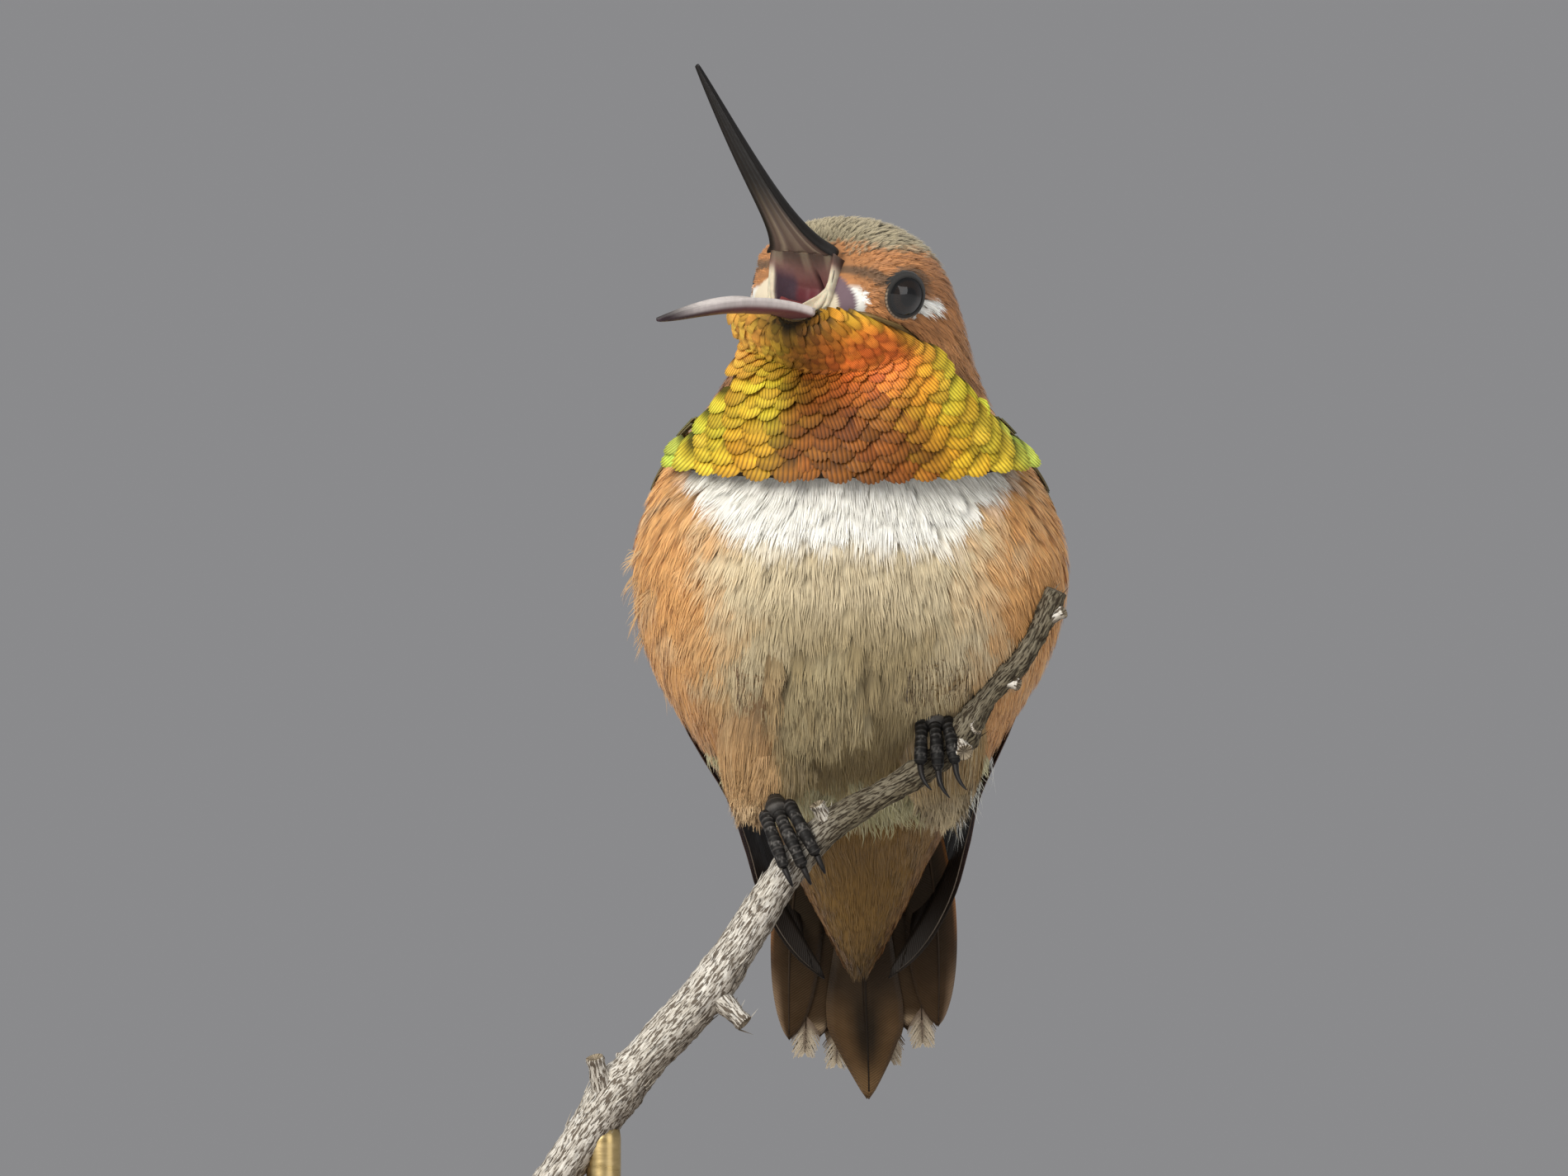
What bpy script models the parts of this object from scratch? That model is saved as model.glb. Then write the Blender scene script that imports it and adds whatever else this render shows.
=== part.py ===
"""A perched adult male rufous hummingbird, life size, singing with its bill wide open.

The bird sits on a short cut length of twig that a small turned stand carries.  Metres, +Z up.
The origin is the centre of the stand's underside.  The bird faces -Y; its own left side is +X.
"""
import math

import bmesh
import bpy
import numpy as np
from mathutils import Vector

MM = 0.001
COLLECTION = "hummingbird"
CUTTER_COLLECTION = "hummingbird_cutters"

GAP = 0.08                  # clearance between neighbouring pieces, in millimetres
RING_SIDES = 24             # points round a ring of the body
MERGE_DISTANCE = 1e-7

# The body's stations, from the tip of the undertail coverts to the face, in millimetres:
# centre x, y, z; yaw and pitch of the body's axis in degrees; half width; depth of the
# back above the centre; depth of the breast below it.
STATIONS = (
    (4.40, 14.30, 24.60, 0.0, 58.0, 0.50, 0.35, 0.45),      # 0 tip of the undertail coverts
    (4.40, 12.20, 28.20, 0.0, 57.0, 2.50, 1.50, 1.70),      # 1 undertail coverts
    (4.30, 9.60, 31.90, 0.0, 56.0, 4.50, 3.00, 2.90),       # 2 tail coverts
    (4.00, 6.40, 35.40, 0.0, 55.0, 6.85, 5.00, 4.40),       # 3 vent and rump
    (3.70, 2.60, 39.40, 0.0, 56.0, 9.55, 7.30, 6.10),       # 4 lower belly
    (3.75, -1.40, 44.00, 0.0, 58.0, 12.05, 8.80, 8.30),     # 5 belly
    (3.85, -4.40, 48.80, 0.0, 61.0, 12.70, 9.20, 9.20),     # 6 breast
    (3.70, -6.30, 52.80, 0.0, 64.0, 11.30, 8.30, 8.20),     # 7 upper breast
    (3.70, -7.40, 56.00, 0.0, 64.0, 9.00, 7.00, 6.80),      # 8 shoulders
    (3.90, -8.10, 59.00, 7.0, 60.0, 7.40, 6.10, 5.90),      # 9 neck
    (3.95, -8.70, 61.60, 17.0, 48.0, 6.65, 5.40, 5.30),     # 10 nape
    (3.75, -9.30, 63.60, 29.0, 36.0, 6.25, 4.90, 4.90),     # 11 middle of the head
    (2.85, -10.90, 64.60, 36.0, 29.0, 6.00, 4.35, 4.35),    # 12 eyes and forehead
    (1.80, -12.30, 65.00, 37.0, 24.0, 4.85, 3.45, 3.60),    # 13 lores
    (1.35, -13.10, 65.05, 37.0, 20.0, 2.60, 2.10, 2.70),    # 14 base of the bill
)
HEAD_ROLL = 4.0             # the bird's left side hangs a little lower
ROLL_STARTS = 9.0           # station where the roll begins, full from station 12 on

# Cuts between the named parts of the body, as stations.
FACE_END = 14.0
HEAD_CUT = 10.0
NECK_CUT = 8.3
BREAST_CUT = 6.0
BELLY_CUT = 3.4
RUMP_CUT = 2.1
STATION_GAP = 0.02          # half of a cut, in stations

# Gorget, the shield of throat feathers that flares over the breast.
GORGET_HALF_ANGLE = 84.0    # degrees either side of the throat's middle
GORGET_CHIN = 13.6          # station of its front edge, under the bill
GORGET_LIFT = 0.16          # clearance under it, on account of the throat's flat facets
GORGET_THIN = 0.7
GORGET_FLARE = 1.25         # thickness at its lower edge

EYE_RADIUS = 1.70
EYE_STATION = 11.8
EYE_ANGLE = 96.0            # degrees round from the crown
EYE_INSET = 1.25            # eye centre below the surface of the face
EYE_GAP = 0.06

UPPER_TIP = (-4.95, -25.0, 76.9)
LOWER_TIP = (-7.2, -25.2, 62.4)
UPPER_ABOVE = 0.95          # upper mandible's base above the middle of the face
LOWER_BELOW = 2.25
UPPER_HALF_WIDTH = 2.45
LOWER_HALF_WIDTH = 1.90
UPPER_HEIGHT = 0.95
LOWER_HEIGHT = 0.75
BILL_START = 0.6            # clearance of both mandibles off the face
BILL_TIP = 0.14             # half width at both tips
BILL_SLIMNESS = 0.47        # half width just past the flared base, as a share of the base's
UPPER_ARCH = 0.35           # how far each mandible bows towards the mouth or away from it
LOWER_ARCH = 0.8
MOUTH_HALF_WIDTH = 2.05
MOUTH_HALF_HEIGHT = 1.9
MOUTH_DROP = 0.35           # middle of the mouth below the middle of the face
MOUTH_RIM = ((0.0, 1.0), (0.5, 0.96), (0.9, 0.86))      # reach off the face, and size there
MOUTH_DISH = 0.55
MOUTH_SIDES = 20

# Tail: half a fan of five feathers, and its mirror image.
TAIL_ROOT = (4.65, 9.3, 36.4)
TAIL_PITCH = 58.5           # degrees below the horizontal
TAIL_THICKNESS = 0.5
TAIL_STEP = 0.22            # each feather lies this far below the next one inwards
TAIL_MIRROR_STEP = 0.2      # a left feather lies this share of a step below its right twin
TAIL_SLOT_REACH = 0.5       # the pocket starts this far above the tail's root
TAIL_SLOT_ROOT = 1.9        # half widths of the pocket that the tail grows from
TAIL_SLOT_END = 8.6
TAIL_FEATHERS = (           # spread in degrees, length, half width, bluntness of the tip;
                            # the closed middle pair is the first row
    (0.0, 22.0, 1.85, 0.10),
    (5.3, 20.3, 2.15, 0.35),
    (10.2, 19.2, 2.15, 0.60),
    (14.6, 17.8, 2.05, 0.80),
    (18.2, 15.8, 1.60, 0.90),
)

# Folded wing: station of the body, then degrees round from the back and lift off the body
# for its leading edge, and the same two for its trailing edge.
WING = (
    (7.6, 60.0, 0.12, 36.0, 0.12), (6.9, 63.0, 0.12, 30.0, 0.12), (6.0, 66.0, 0.12, 28.0, 0.12),
    (5.0, 66.0, 0.12, 28.0, 0.12), (4.0, 69.0, 0.12, 30.0, 0.12), (3.0, 80.0, 0.40, 40.0, 0.12),
    (2.2, 90.0, 1.50, 60.0, 0.70), (1.5, 96.0, 2.40, 78.0, 1.50), (0.9, 99.0, 2.65, 86.0, 1.60),
    (0.4, 102.0, 2.40, 90.0, 1.10), (0.0, 106.0, 1.60, 95.0, 1.00),
)
WING_COVERTS_END = 0.40     # share of the wing's length that the coverts hide
WING_THICKNESS = 0.95
WING_TIP_THICKNESS = 0.5
WING_SCALLOP = 3.0          # degrees that each feather tip stands out of the trailing edge
WING_TIPS = 7               # stepped feather tips along the trailing edge
WING_SLIT = 0.004           # half of the cut between coverts and flight feathers, as a share

# Twig: x, y, z along its middle and its radius.
TWIG = (
    (-16.4, -5.0, 8.2, 1.25), (-14.8, -5.1, 10.6, 1.24), (-13.0, -5.2, 13.2, 1.22),
    (-11.3, -5.3, 15.6, 1.26), (-9.9, -5.4, 17.7, 1.52), (-8.7, -5.4, 19.1, 1.32),
    (-7.2, -5.5, 20.8, 1.28), (-5.4, -5.5, 22.7, 1.30), (-4.0, -5.5, 24.4, 1.30),
    (-2.7, -5.6, 26.3, 1.18), (-1.5, -5.6, 28.2, 1.10), (-0.4, -5.7, 29.9, 1.05),
    (1.0, -5.8, 31.8, 1.02), (2.7, -5.9, 33.4, 0.94), (4.6, -6.0, 34.6, 0.82),
    (6.4, -6.2, 35.6, 0.78), (8.0, -6.4, 36.6, 0.78), (9.2, -6.5, 37.5, 0.86),
    (10.2, -6.7, 38.5, 0.96), (11.0, -6.9, 39.8, 0.76), (12.1, -7.2, 41.3, 0.66),
    (13.7, -7.6, 43.0, 0.66), (14.8, -7.9, 44.9, 0.60), (15.7, -8.1, 46.9, 0.66),
)
TWIG_STUBS = (              # root, tip, root radius, tip radius
    ((-10.3, -5.8, 17.6), (-10.9, -6.7, 20.0), 0.80, 0.42),
    ((-9.3, -5.4, 18.2), (-9.2, -5.3, 20.2), 0.70, 0.38),
    ((-3.9, -5.7, 23.6), (-2.3, -6.3, 22.0), 0.80, 0.42),
    ((2.6, -6.0, 33.3), (1.9, -6.5, 34.6), 0.60, 0.36),
    ((9.9, -6.8, 38.2), (10.4, -8.0, 37.6), 0.62, 0.42),
    ((10.2, -6.7, 38.6), (11.1, -7.4, 39.1), 0.60, 0.36),
    ((12.6, -7.3, 41.8), (13.5, -7.7, 41.5), 0.46, 0.30),
    ((15.0, -7.9, 45.2), (16.1, -8.4, 45.7), 0.46, 0.30),
)

# Feet: x of the twig point that each one holds, the way its front toes run down across the
# twig (x and z), and how far its pad sits above the twig's middle.
FEET = {"right": (0.95, (1.9, -4.2), 3.0), "left": (8.75, (0.3, -4.2), 2.15)}
TOE_RADIUS = 0.34
TOE_SPACING = 0.69
TOE_SPREAD = 0.5            # the toes' gap grows by this share towards the claws
TOE_ROOT_SPACING = 1.1      # their gap at the pad, as a share of the spacing
TOE_ROOT_WIDTH = 1.08       # radius at the pad and loss towards the claw, as shares
TOE_TAPER = 0.14
TOE_GAP = 0.05
TOE_CLEARANCE = 0.16
TOE_START = 22.0            # degrees round the twig, from its top towards the front
TOE_ENDS = (("inner", 98.0), ("middle", 111.0), ("outer", 101.0))
HALLUX_END = 105.0
CLAW_START = 5.0            # degrees round the twig, past the end of the toe
CLAW_SWEEP = 31.0
CLAW_LIFT = 0.55            # how far the claw tips stand off the toes' own curve
CLAW_RADIUS = 0.21
CLAW_TIP = 0.06
PAD_RADIUS = 0.72
SHANK_RADIUS = 0.42
SHANK_TOP = {"right": (-0.9, -2.6, 37.4), "left": (8.3, -3.6, 41.0)}

# Feathered thighs: centre, half sizes and lean in degrees about Y.
THIGHS = {
    "right": ((-1.6, -1.6, 37.0), (2.5, 2.5, 3.7), -10.0),
    "left": ((9.0, -1.8, 37.3), (3.0, 2.5, 4.3), 4.0),
}

# Stand.
BASE_RADIUS = 27.0
BASE_HEIGHT = 4.0
BASE_EDGE = 1.2
ROD_RADIUS = 1.0
ROD_X = -10.4
ROD_Y = -5.4

FINISHES = {                # base colour, roughness, metallic
    "crown": ((0.20, 0.18, 0.12), 0.6, 0.0),
    "rufous": ((0.50, 0.22, 0.07), 0.6, 0.0),
    "gorget": ((0.85, 0.35, 0.02), 0.25, 0.6),
    "white": ((0.82, 0.80, 0.76), 0.7, 0.0),
    "buff": ((0.60, 0.48, 0.30), 0.7, 0.0),
    "flight": ((0.06, 0.045, 0.035), 0.5, 0.0),
    "horn": ((0.035, 0.025, 0.022), 0.35, 0.0),
    "mouth": ((0.38, 0.10, 0.12), 0.3, 0.0),
    "eye": ((0.006, 0.005, 0.005), 0.05, 0.0),
    "foot": ((0.025, 0.022, 0.022), 0.5, 0.0),
    "bark": ((0.42, 0.39, 0.35), 0.85, 0.0),
    "base_wood": ((0.10, 0.06, 0.035), 0.4, 0.0),
    "rod_metal": ((0.55, 0.42, 0.22), 0.3, 1.0),
}


# ---------------------------------------------------------------- small tools

def start_clean():
    for obj in list(bpy.data.objects):
        bpy.data.objects.remove(obj, do_unlink=True)
    for name in (COLLECTION, CUTTER_COLLECTION):
        bpy.context.scene.collection.children.link(bpy.data.collections.new(name))


def finish_material(name):
    if name in bpy.data.materials:
        return bpy.data.materials[name]
    colour, roughness, metallic = FINISHES[name]
    material = bpy.data.materials.new(name)
    material.use_nodes = True
    shader = material.node_tree.nodes["Principled BSDF"]
    shader.inputs["Base Color"].default_value = (*colour, 1.0)
    shader.inputs["Roughness"].default_value = roughness
    shader.inputs["Metallic"].default_value = metallic
    material.diffuse_color = (*colour, 1.0)
    return material


def add_object(name, mesh, finish, collection=COLLECTION):
    obj = bpy.data.objects.new(name, mesh)
    bpy.data.collections[collection].objects.link(obj)
    mesh.materials.clear()
    mesh.materials.append(finish_material(finish))
    mesh.shade_smooth()
    mesh.set_sharp_from_angle(angle=math.radians(50.0))
    return obj


def add_ball(name, centre, radius, finish, segments=12, rings=8):
    bm = bmesh.new()
    bmesh.ops.create_uvsphere(bm, u_segments=segments, v_segments=rings, radius=radius * MM)
    bmesh.ops.translate(bm, verts=bm.verts, vec=Vector(centre) * MM)
    mesh = bpy.data.meshes.new(name)
    bm.to_mesh(mesh)
    bm.free()
    return add_object(name, mesh, finish)


def mesh_from_rings(name, rings, end_dish=0.0):
    """Joins rings of equal count into a closed skin; each end is one flat face.

    end_dish pushes the middle of the last face in, towards the first ring.
    """
    sides = len(rings[0])
    bm = bmesh.new()
    rows = [[bm.verts.new(Vector(point) * MM) for point in ring] for ring in rings]
    for lower, upper in zip(rows, rows[1:]):
        for i in range(sides):
            j = (i + 1) % sides
            bm.faces.new((lower[i], lower[j], upper[j], upper[i]))
    bm.faces.new(list(reversed(rows[0])))
    if end_dish:
        middle = np.mean(rings[-1], axis=0)
        inward = np.mean(rings[0], axis=0) - middle
        inward = inward / np.linalg.norm(inward)
        centre = bm.verts.new(Vector(middle + inward * end_dish) * MM)
        for i in range(sides):
            bm.faces.new((rows[-1][i], rows[-1][(i + 1) % sides], centre))
    else:
        bm.faces.new(rows[-1])
    bmesh.ops.recalc_face_normals(bm, faces=bm.faces)
    mesh = bpy.data.meshes.new(name)
    bm.to_mesh(mesh)
    bm.free()
    return mesh


def smooth_path(points, count):
    """A smooth curve through points, read at count places evenly along it."""
    points = np.array(points, dtype=float)
    steps = np.linalg.norm(np.diff(points[:, :3], axis=0), axis=1)
    places = np.concatenate(([0.0], np.cumsum(steps)))
    wanted = np.linspace(0.0, places[-1], count)
    return np.array([spline(places, points, place) for place in wanted])


def spline(keys, values, key):
    """Cubic through values at increasing keys, with slopes from the neighbours."""
    keys = np.asarray(keys, dtype=float)
    values = np.asarray(values, dtype=float)
    key = min(max(key, keys[0]), keys[-1])
    i = int(min(np.searchsorted(keys, key, side="right") - 1, len(keys) - 2))
    span = keys[i + 1] - keys[i]

    def slope(k):
        before = max(k - 1, 0)
        after = min(k + 1, len(keys) - 1)
        return (values[after] - values[before]) / (keys[after] - keys[before])

    x = (key - keys[i]) / span
    return ((2 * x**3 - 3 * x**2 + 1) * values[i] + (x**3 - 2 * x**2 + x) * span * slope(i)
            + (-2 * x**3 + 3 * x**2) * values[i + 1] + (x**3 - x**2) * span * slope(i + 1))


def tapered_tube(name, points, sides_level=2):
    """A closed tube mesh along points of x, y, z and radius, in millimetres."""
    curve = bpy.data.curves.new(name, "CURVE")
    curve.dimensions = "3D"
    curve.bevel_depth = MM
    curve.bevel_resolution = sides_level
    curve.use_fill_caps = True
    strand = curve.splines.new("POLY")
    strand.points.add(len(points) - 1)
    for point, (x, y, z, radius) in zip(strand.points, points):
        point.co = (x * MM, y * MM, z * MM, 1.0)
        point.radius = radius
    guide = bpy.data.objects.new(name, curve)
    bpy.data.collections[CUTTER_COLLECTION].objects.link(guide)
    bpy.context.view_layer.update()
    mesh = bpy.data.meshes.new_from_object(guide.evaluated_get(
        bpy.context.evaluated_depsgraph_get()))
    bpy.data.objects.remove(guide, do_unlink=True)
    bpy.data.curves.remove(curve)
    bm = bmesh.new()
    bm.from_mesh(mesh)
    bmesh.ops.remove_doubles(bm, verts=bm.verts, dist=MERGE_DISTANCE)
    bmesh.ops.recalc_face_normals(bm, faces=bm.faces)
    bm.to_mesh(mesh)
    bm.free()
    return mesh


def grown_cutter(obj, growth=GAP):
    """A copy of a piece, larger all over by growth, to cut its neighbours with."""
    bm = bmesh.new()
    bm.from_mesh(obj.data)
    bm.normal_update()
    moves = [(vert, vert.normal.copy()) for vert in bm.verts]
    for vert, normal in moves:
        vert.co += normal * growth * MM
    mesh = bpy.data.meshes.new(obj.name + "_cutter")
    bm.to_mesh(mesh)
    bm.free()
    cutter = bpy.data.objects.new(obj.name + "_cutter", mesh)
    bpy.data.collections[CUTTER_COLLECTION].objects.link(cutter)
    cutter.hide_render = True
    cutter.display_type = "WIRE"
    return cutter


def combine(obj, other, operation):
    """Applies one exact Boolean to a piece and keeps the result as its mesh."""
    modifier = obj.modifiers.new("cut", "BOOLEAN")
    modifier.operation = operation
    modifier.object = other
    modifier.solver = "EXACT"
    bpy.context.view_layer.update()
    mesh = bpy.data.meshes.new_from_object(obj.evaluated_get(
        bpy.context.evaluated_depsgraph_get()))
    obj.modifiers.remove(modifier)
    bm = bmesh.new()
    bm.from_mesh(mesh)
    bmesh.ops.dissolve_degenerate(bm, edges=bm.edges, dist=MERGE_DISTANCE * 10)
    keep_largest_body(bm)
    bm.to_mesh(mesh)
    bm.free()
    obj.data = mesh
    return obj


def diagonal(verts):
    """Length of the diagonal of the box round some vertices."""
    places = np.array([vert.co for vert in verts])
    return float(np.linalg.norm(places.max(axis=0) - places.min(axis=0)))


def keep_largest_body(bm):
    """Drops crumbs that a cut leaves beside the main body."""
    unseen = set(bm.verts)
    bodies = []
    while unseen:
        front = [unseen.pop()]
        body = set(front)
        while front:
            vert = front.pop()
            for edge in vert.link_edges:
                neighbour = edge.other_vert(vert)
                if neighbour in unseen:
                    unseen.discard(neighbour)
                    body.add(neighbour)
                    front.append(neighbour)
        bodies.append(body)
    bodies.sort(key=diagonal)
    for body in bodies[:-1]:
        bmesh.ops.delete(bm, geom=list(body), context="VERTS")


def corners(obj):
    places = np.array([vert.co for vert in obj.data.vertices])
    return places.min(axis=0), places.max(axis=0)


def cut_clear(obj, neighbours, growth=GAP):
    """Cuts a piece back from the neighbours whose boxes meet its own."""
    for neighbour in neighbours:
        low, high = corners(obj)
        other_low, other_high = corners(neighbour)
        margin = 2.0 * growth * MM
        if np.all(low < other_high + margin) and np.all(other_low < high + margin):
            combine(obj, grown_cutter(neighbour, growth), "DIFFERENCE")


# ---------------------------------------------------------------- the body's shape

def axes(yaw, pitch, roll):
    """Forward, left and dorsal directions of a ring of the body."""
    yaw, pitch, roll = (math.radians(angle) for angle in (yaw, pitch, roll))
    forward = np.array((-math.sin(yaw) * math.cos(pitch),
                        -math.cos(yaw) * math.cos(pitch), math.sin(pitch)))
    left = np.array((math.cos(yaw), -math.sin(yaw), 0.0))
    dorsal = np.cross(forward, left)
    turned_left = left * math.cos(roll) - dorsal * math.sin(roll)
    return forward, turned_left, np.cross(forward, turned_left)


def ring_at(station):
    """Centre, axes and radii of the body at a station."""
    row = spline(range(len(STATIONS)), STATIONS, station)
    roll = HEAD_ROLL * min(max((station - ROLL_STARTS) / (12.0 - ROLL_STARTS), 0.0), 1.0)
    return row[:3], axes(row[3], row[4], roll), row[5:]


def body_point(station, degrees, lift=0.0):
    """A point of the body's surface; degrees run from the back round by the left side."""
    centre, (_, left, dorsal), (half_width, back, breast) = ring_at(station)
    angle = math.radians(degrees)
    depth = back if math.cos(angle) > 0.0 else breast
    return (centre + left * (half_width + lift) * math.sin(angle)
            + dorsal * (depth + lift) * math.cos(angle))


def body_ring(station, lift=0.0):
    return [body_point(station, 360.0 * i / RING_SIDES, lift) for i in range(RING_SIDES)]


def body_length(name, start, end, ring_count, finish):
    stations = np.linspace(start + STATION_GAP, end - STATION_GAP, ring_count)
    rings = [body_ring(station) for station in stations]
    return add_object(name, mesh_from_rings(name, rings), finish)


def whole_body():
    """The undivided body, larger all over by the gap, to cut the thighs with."""
    rings = [body_ring(station, GAP) for station in np.linspace(0.0, NECK_CUT, 26)]
    return add_object("whole_body", mesh_from_rings("whole_body", rings), "buff",
                      CUTTER_COLLECTION)


def build_trunk():
    return {
        "neck": body_length("neck", NECK_CUT, HEAD_CUT, 4, "rufous"),
        "breast": body_length("breast", BREAST_CUT, NECK_CUT, 6, "white"),
        "belly": body_length("belly", BELLY_CUT, BREAST_CUT, 7, "buff"),
        "rump": body_length("rump", RUMP_CUT, BELLY_CUT, 4, "rufous"),
        "tail_coverts": body_length("tail_coverts", 0.0, RUMP_CUT, 6, "buff"),
    }


def build_eye(side):
    sign = 1.0 if side == "left" else -1.0
    centre, _, _ = ring_at(EYE_STATION)
    surface = body_point(EYE_STATION, sign * EYE_ANGLE)
    inward = (centre - surface) / np.linalg.norm(centre - surface)
    return add_ball("eye_" + side, surface + inward * EYE_INSET, EYE_RADIUS, "eye", 16, 10)


def build_head(eyes):
    head = body_length("head", HEAD_CUT, FACE_END, 11, "rufous")
    cut_clear(head, eyes, EYE_GAP)
    return head


# ---------------------------------------------------------------- gorget

def gorget_edges(share):
    """Stations of the gorget's lower and upper edge; share is 0 in the middle, 1 at a corner."""
    lower = 8.1 - 0.66 * share**1.6
    upper = GORGET_CHIN - (GORGET_CHIN - 8.9) * share**2.2
    return lower, upper


def build_gorget():
    columns = 19
    rows = 8
    outer = []
    inner = []
    for i in range(columns):
        offset = -1.0 + 2.0 * i / (columns - 1)
        degrees = 180.0 + offset * GORGET_HALF_ANGLE
        lower, upper = gorget_edges(abs(offset))
        for j in range(rows):
            rise = j / (rows - 1)
            station = lower + (upper - lower) * rise
            flare = (GORGET_FLARE - GORGET_THIN) * (1.0 - 0.8 * abs(offset)**3)
            thick = GORGET_THIN + flare * (1.0 - rise)**2.2
            outer.append(body_point(station, degrees, GORGET_LIFT + thick))
            inner.append(body_point(station, degrees, GORGET_LIFT))
    bm = bmesh.new()
    skins = [[bm.verts.new(Vector(point) * MM) for point in side] for side in (outer, inner)]
    for skin in skins:
        for i in range(columns - 1):
            for j in range(rows - 1):
                k = i * rows + j
                bm.faces.new((skin[k], skin[k + rows], skin[k + rows + 1], skin[k + 1]))
    rim = ([(i, 0) for i in range(columns)] + [(columns - 1, j) for j in range(1, rows)]
           + [(i, rows - 1) for i in range(columns - 2, -1, -1)]
           + [(0, j) for j in range(rows - 2, 0, -1)])
    for (i, j), (k, m) in zip(rim, rim[1:] + rim[:1]):
        bm.faces.new((skins[0][i * rows + j], skins[0][k * rows + m],
                      skins[1][k * rows + m], skins[1][i * rows + j]))
    bmesh.ops.recalc_face_normals(bm, faces=bm.faces)
    mesh = bpy.data.meshes.new("throat_gorget")
    bm.to_mesh(mesh)
    bm.free()
    return add_object("throat_gorget", mesh, "gorget")


# ---------------------------------------------------------------- bill and mouth

def bill_section(half_width, outer_height, inner_depth, sides=8):
    """Half-round outside and shallowly hollow inside: pairs of sideways and outward."""
    outside = [(half_width * math.cos(math.pi * i / sides),
                outer_height * math.sin(math.pi * i / sides)) for i in range(sides + 1)]
    inside = [(-half_width * (1.0 - 0.5 * i), -inner_depth * (1.0 - 0.75 * math.sin(
        math.pi * i / 4))) for i in range(1, 4)]
    return outside + inside


def build_mandible(name, base, tip, left, outward, half_width, height, arch):
    """A mandible from base to tip; outward points away from the mouth."""
    base = np.array(base)
    tip = np.array(tip)
    rings = []
    for step in np.linspace(0.0, 1.0, 11):
        along = base + (tip - base) * step + outward * arch * -math.sin(math.pi * step**0.8)
        narrow = (1.0 - step)**0.85
        slim = BILL_SLIMNESS * narrow + (1.0 - BILL_SLIMNESS) * (1.0 - step)**6
        width = BILL_TIP + (half_width - BILL_TIP) * slim
        tall = BILL_TIP + (height - BILL_TIP) * narrow**0.8
        hollow = 0.10 + 0.22 * narrow
        rings.append([along + left * x + outward * y
                      for x, y in bill_section(width, tall, hollow)])
    return add_object(name, mesh_from_rings(name, rings), "horn")


def build_bill():
    centre, (forward, left, dorsal), _ = ring_at(FACE_END)
    front = centre + forward * GAP
    pieces = []
    for name, tip, rise, side, half_width, height, arch in (
            ("bill_upper", UPPER_TIP, UPPER_ABOVE, 1.0, UPPER_HALF_WIDTH, UPPER_HEIGHT,
             UPPER_ARCH),
            ("bill_lower", LOWER_TIP, -LOWER_BELOW, -1.0, LOWER_HALF_WIDTH, LOWER_HEIGHT,
             LOWER_ARCH)):
        base = front + dorsal * rise
        along = np.array(tip) - base
        along = along / np.linalg.norm(along)
        outward = np.cross(along, left) * side
        outward = outward / np.linalg.norm(outward)
        start = base + along * BILL_START
        mandible = build_mandible(name, start, tip, left, outward, half_width, height, arch)
        pieces.append(mandible)
    rings = []
    for reach, size in MOUTH_RIM:
        ring = []
        for i in range(MOUTH_SIDES):
            angle = 2.0 * math.pi * i / MOUTH_SIDES
            rise = MOUTH_HALF_HEIGHT * size * math.cos(angle) - MOUTH_DROP
            ring.append(front + forward * reach + dorsal * rise
                        + left * MOUTH_HALF_WIDTH * size * math.sin(angle))
        rings.append(ring)
    lining = add_object("mouth_lining", mesh_from_rings("mouth_lining", rings, MOUTH_DISH),
                        "mouth")
    cut_clear(lining, pieces)
    return pieces + [lining]


# ---------------------------------------------------------------- tail and wings

def feather_outline(length, half_width, bluntness, steps=7):
    """Half outline of a tail feather: distance from its root and half width there."""
    outline = []
    for i in range(steps + 1):
        share = i / steps
        swell = min(1.0, 0.30 + 1.1 * share)
        taper = (1.0 - share**(3.0 + 5.0 * bluntness))**0.8
        outline.append((length * share, half_width * swell * taper))
    return outline


def tail_axes():
    """The tail's root, and its directions towards the tips and to its underside."""
    pitch = math.radians(TAIL_PITCH)
    return (np.array(TAIL_ROOT), np.array((0.0, math.cos(pitch), -math.sin(pitch))),
            np.array((0.0, -math.sin(pitch), -math.cos(pitch))))


def build_tail():
    root, down, under = tail_axes()
    across = np.array((1.0, 0.0, 0.0))
    tail = None
    for order, (spread, length, half_width, bluntness) in enumerate(TAIL_FEATHERS):
        for sign in ((1.0, -1.0) if order else (1.0,)):
            turn = math.radians(spread) * sign
            along = down * math.cos(turn) + across * math.sin(turn)
            side = across * math.cos(turn) - down * math.sin(turn)
            lower = TAIL_MIRROR_STEP if sign > 0.0 else 0.0
            level = under * TAIL_STEP * (order + lower)
            outline = feather_outline(length, half_width, bluntness)
            edge = ([(s, w) for s, w in outline[:-1]] + [(outline[-1][0], 0.0)]
                    + [(s, -w) for s, w in reversed(outline[:-1])])
            faces = [[root + along * s + side * w + level + under * depth for s, w in edge]
                     for depth in (0.0, TAIL_THICKNESS)]
            feather = add_object("rectrix", mesh_from_rings("rectrix", faces), "flight")
            if tail is None:
                tail = feather
                tail.name = "tail"
            else:
                combine(tail, feather, "UNION")
                bpy.data.objects.remove(feather, do_unlink=True)
    tail.data.name = "tail"
    return tail


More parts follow.
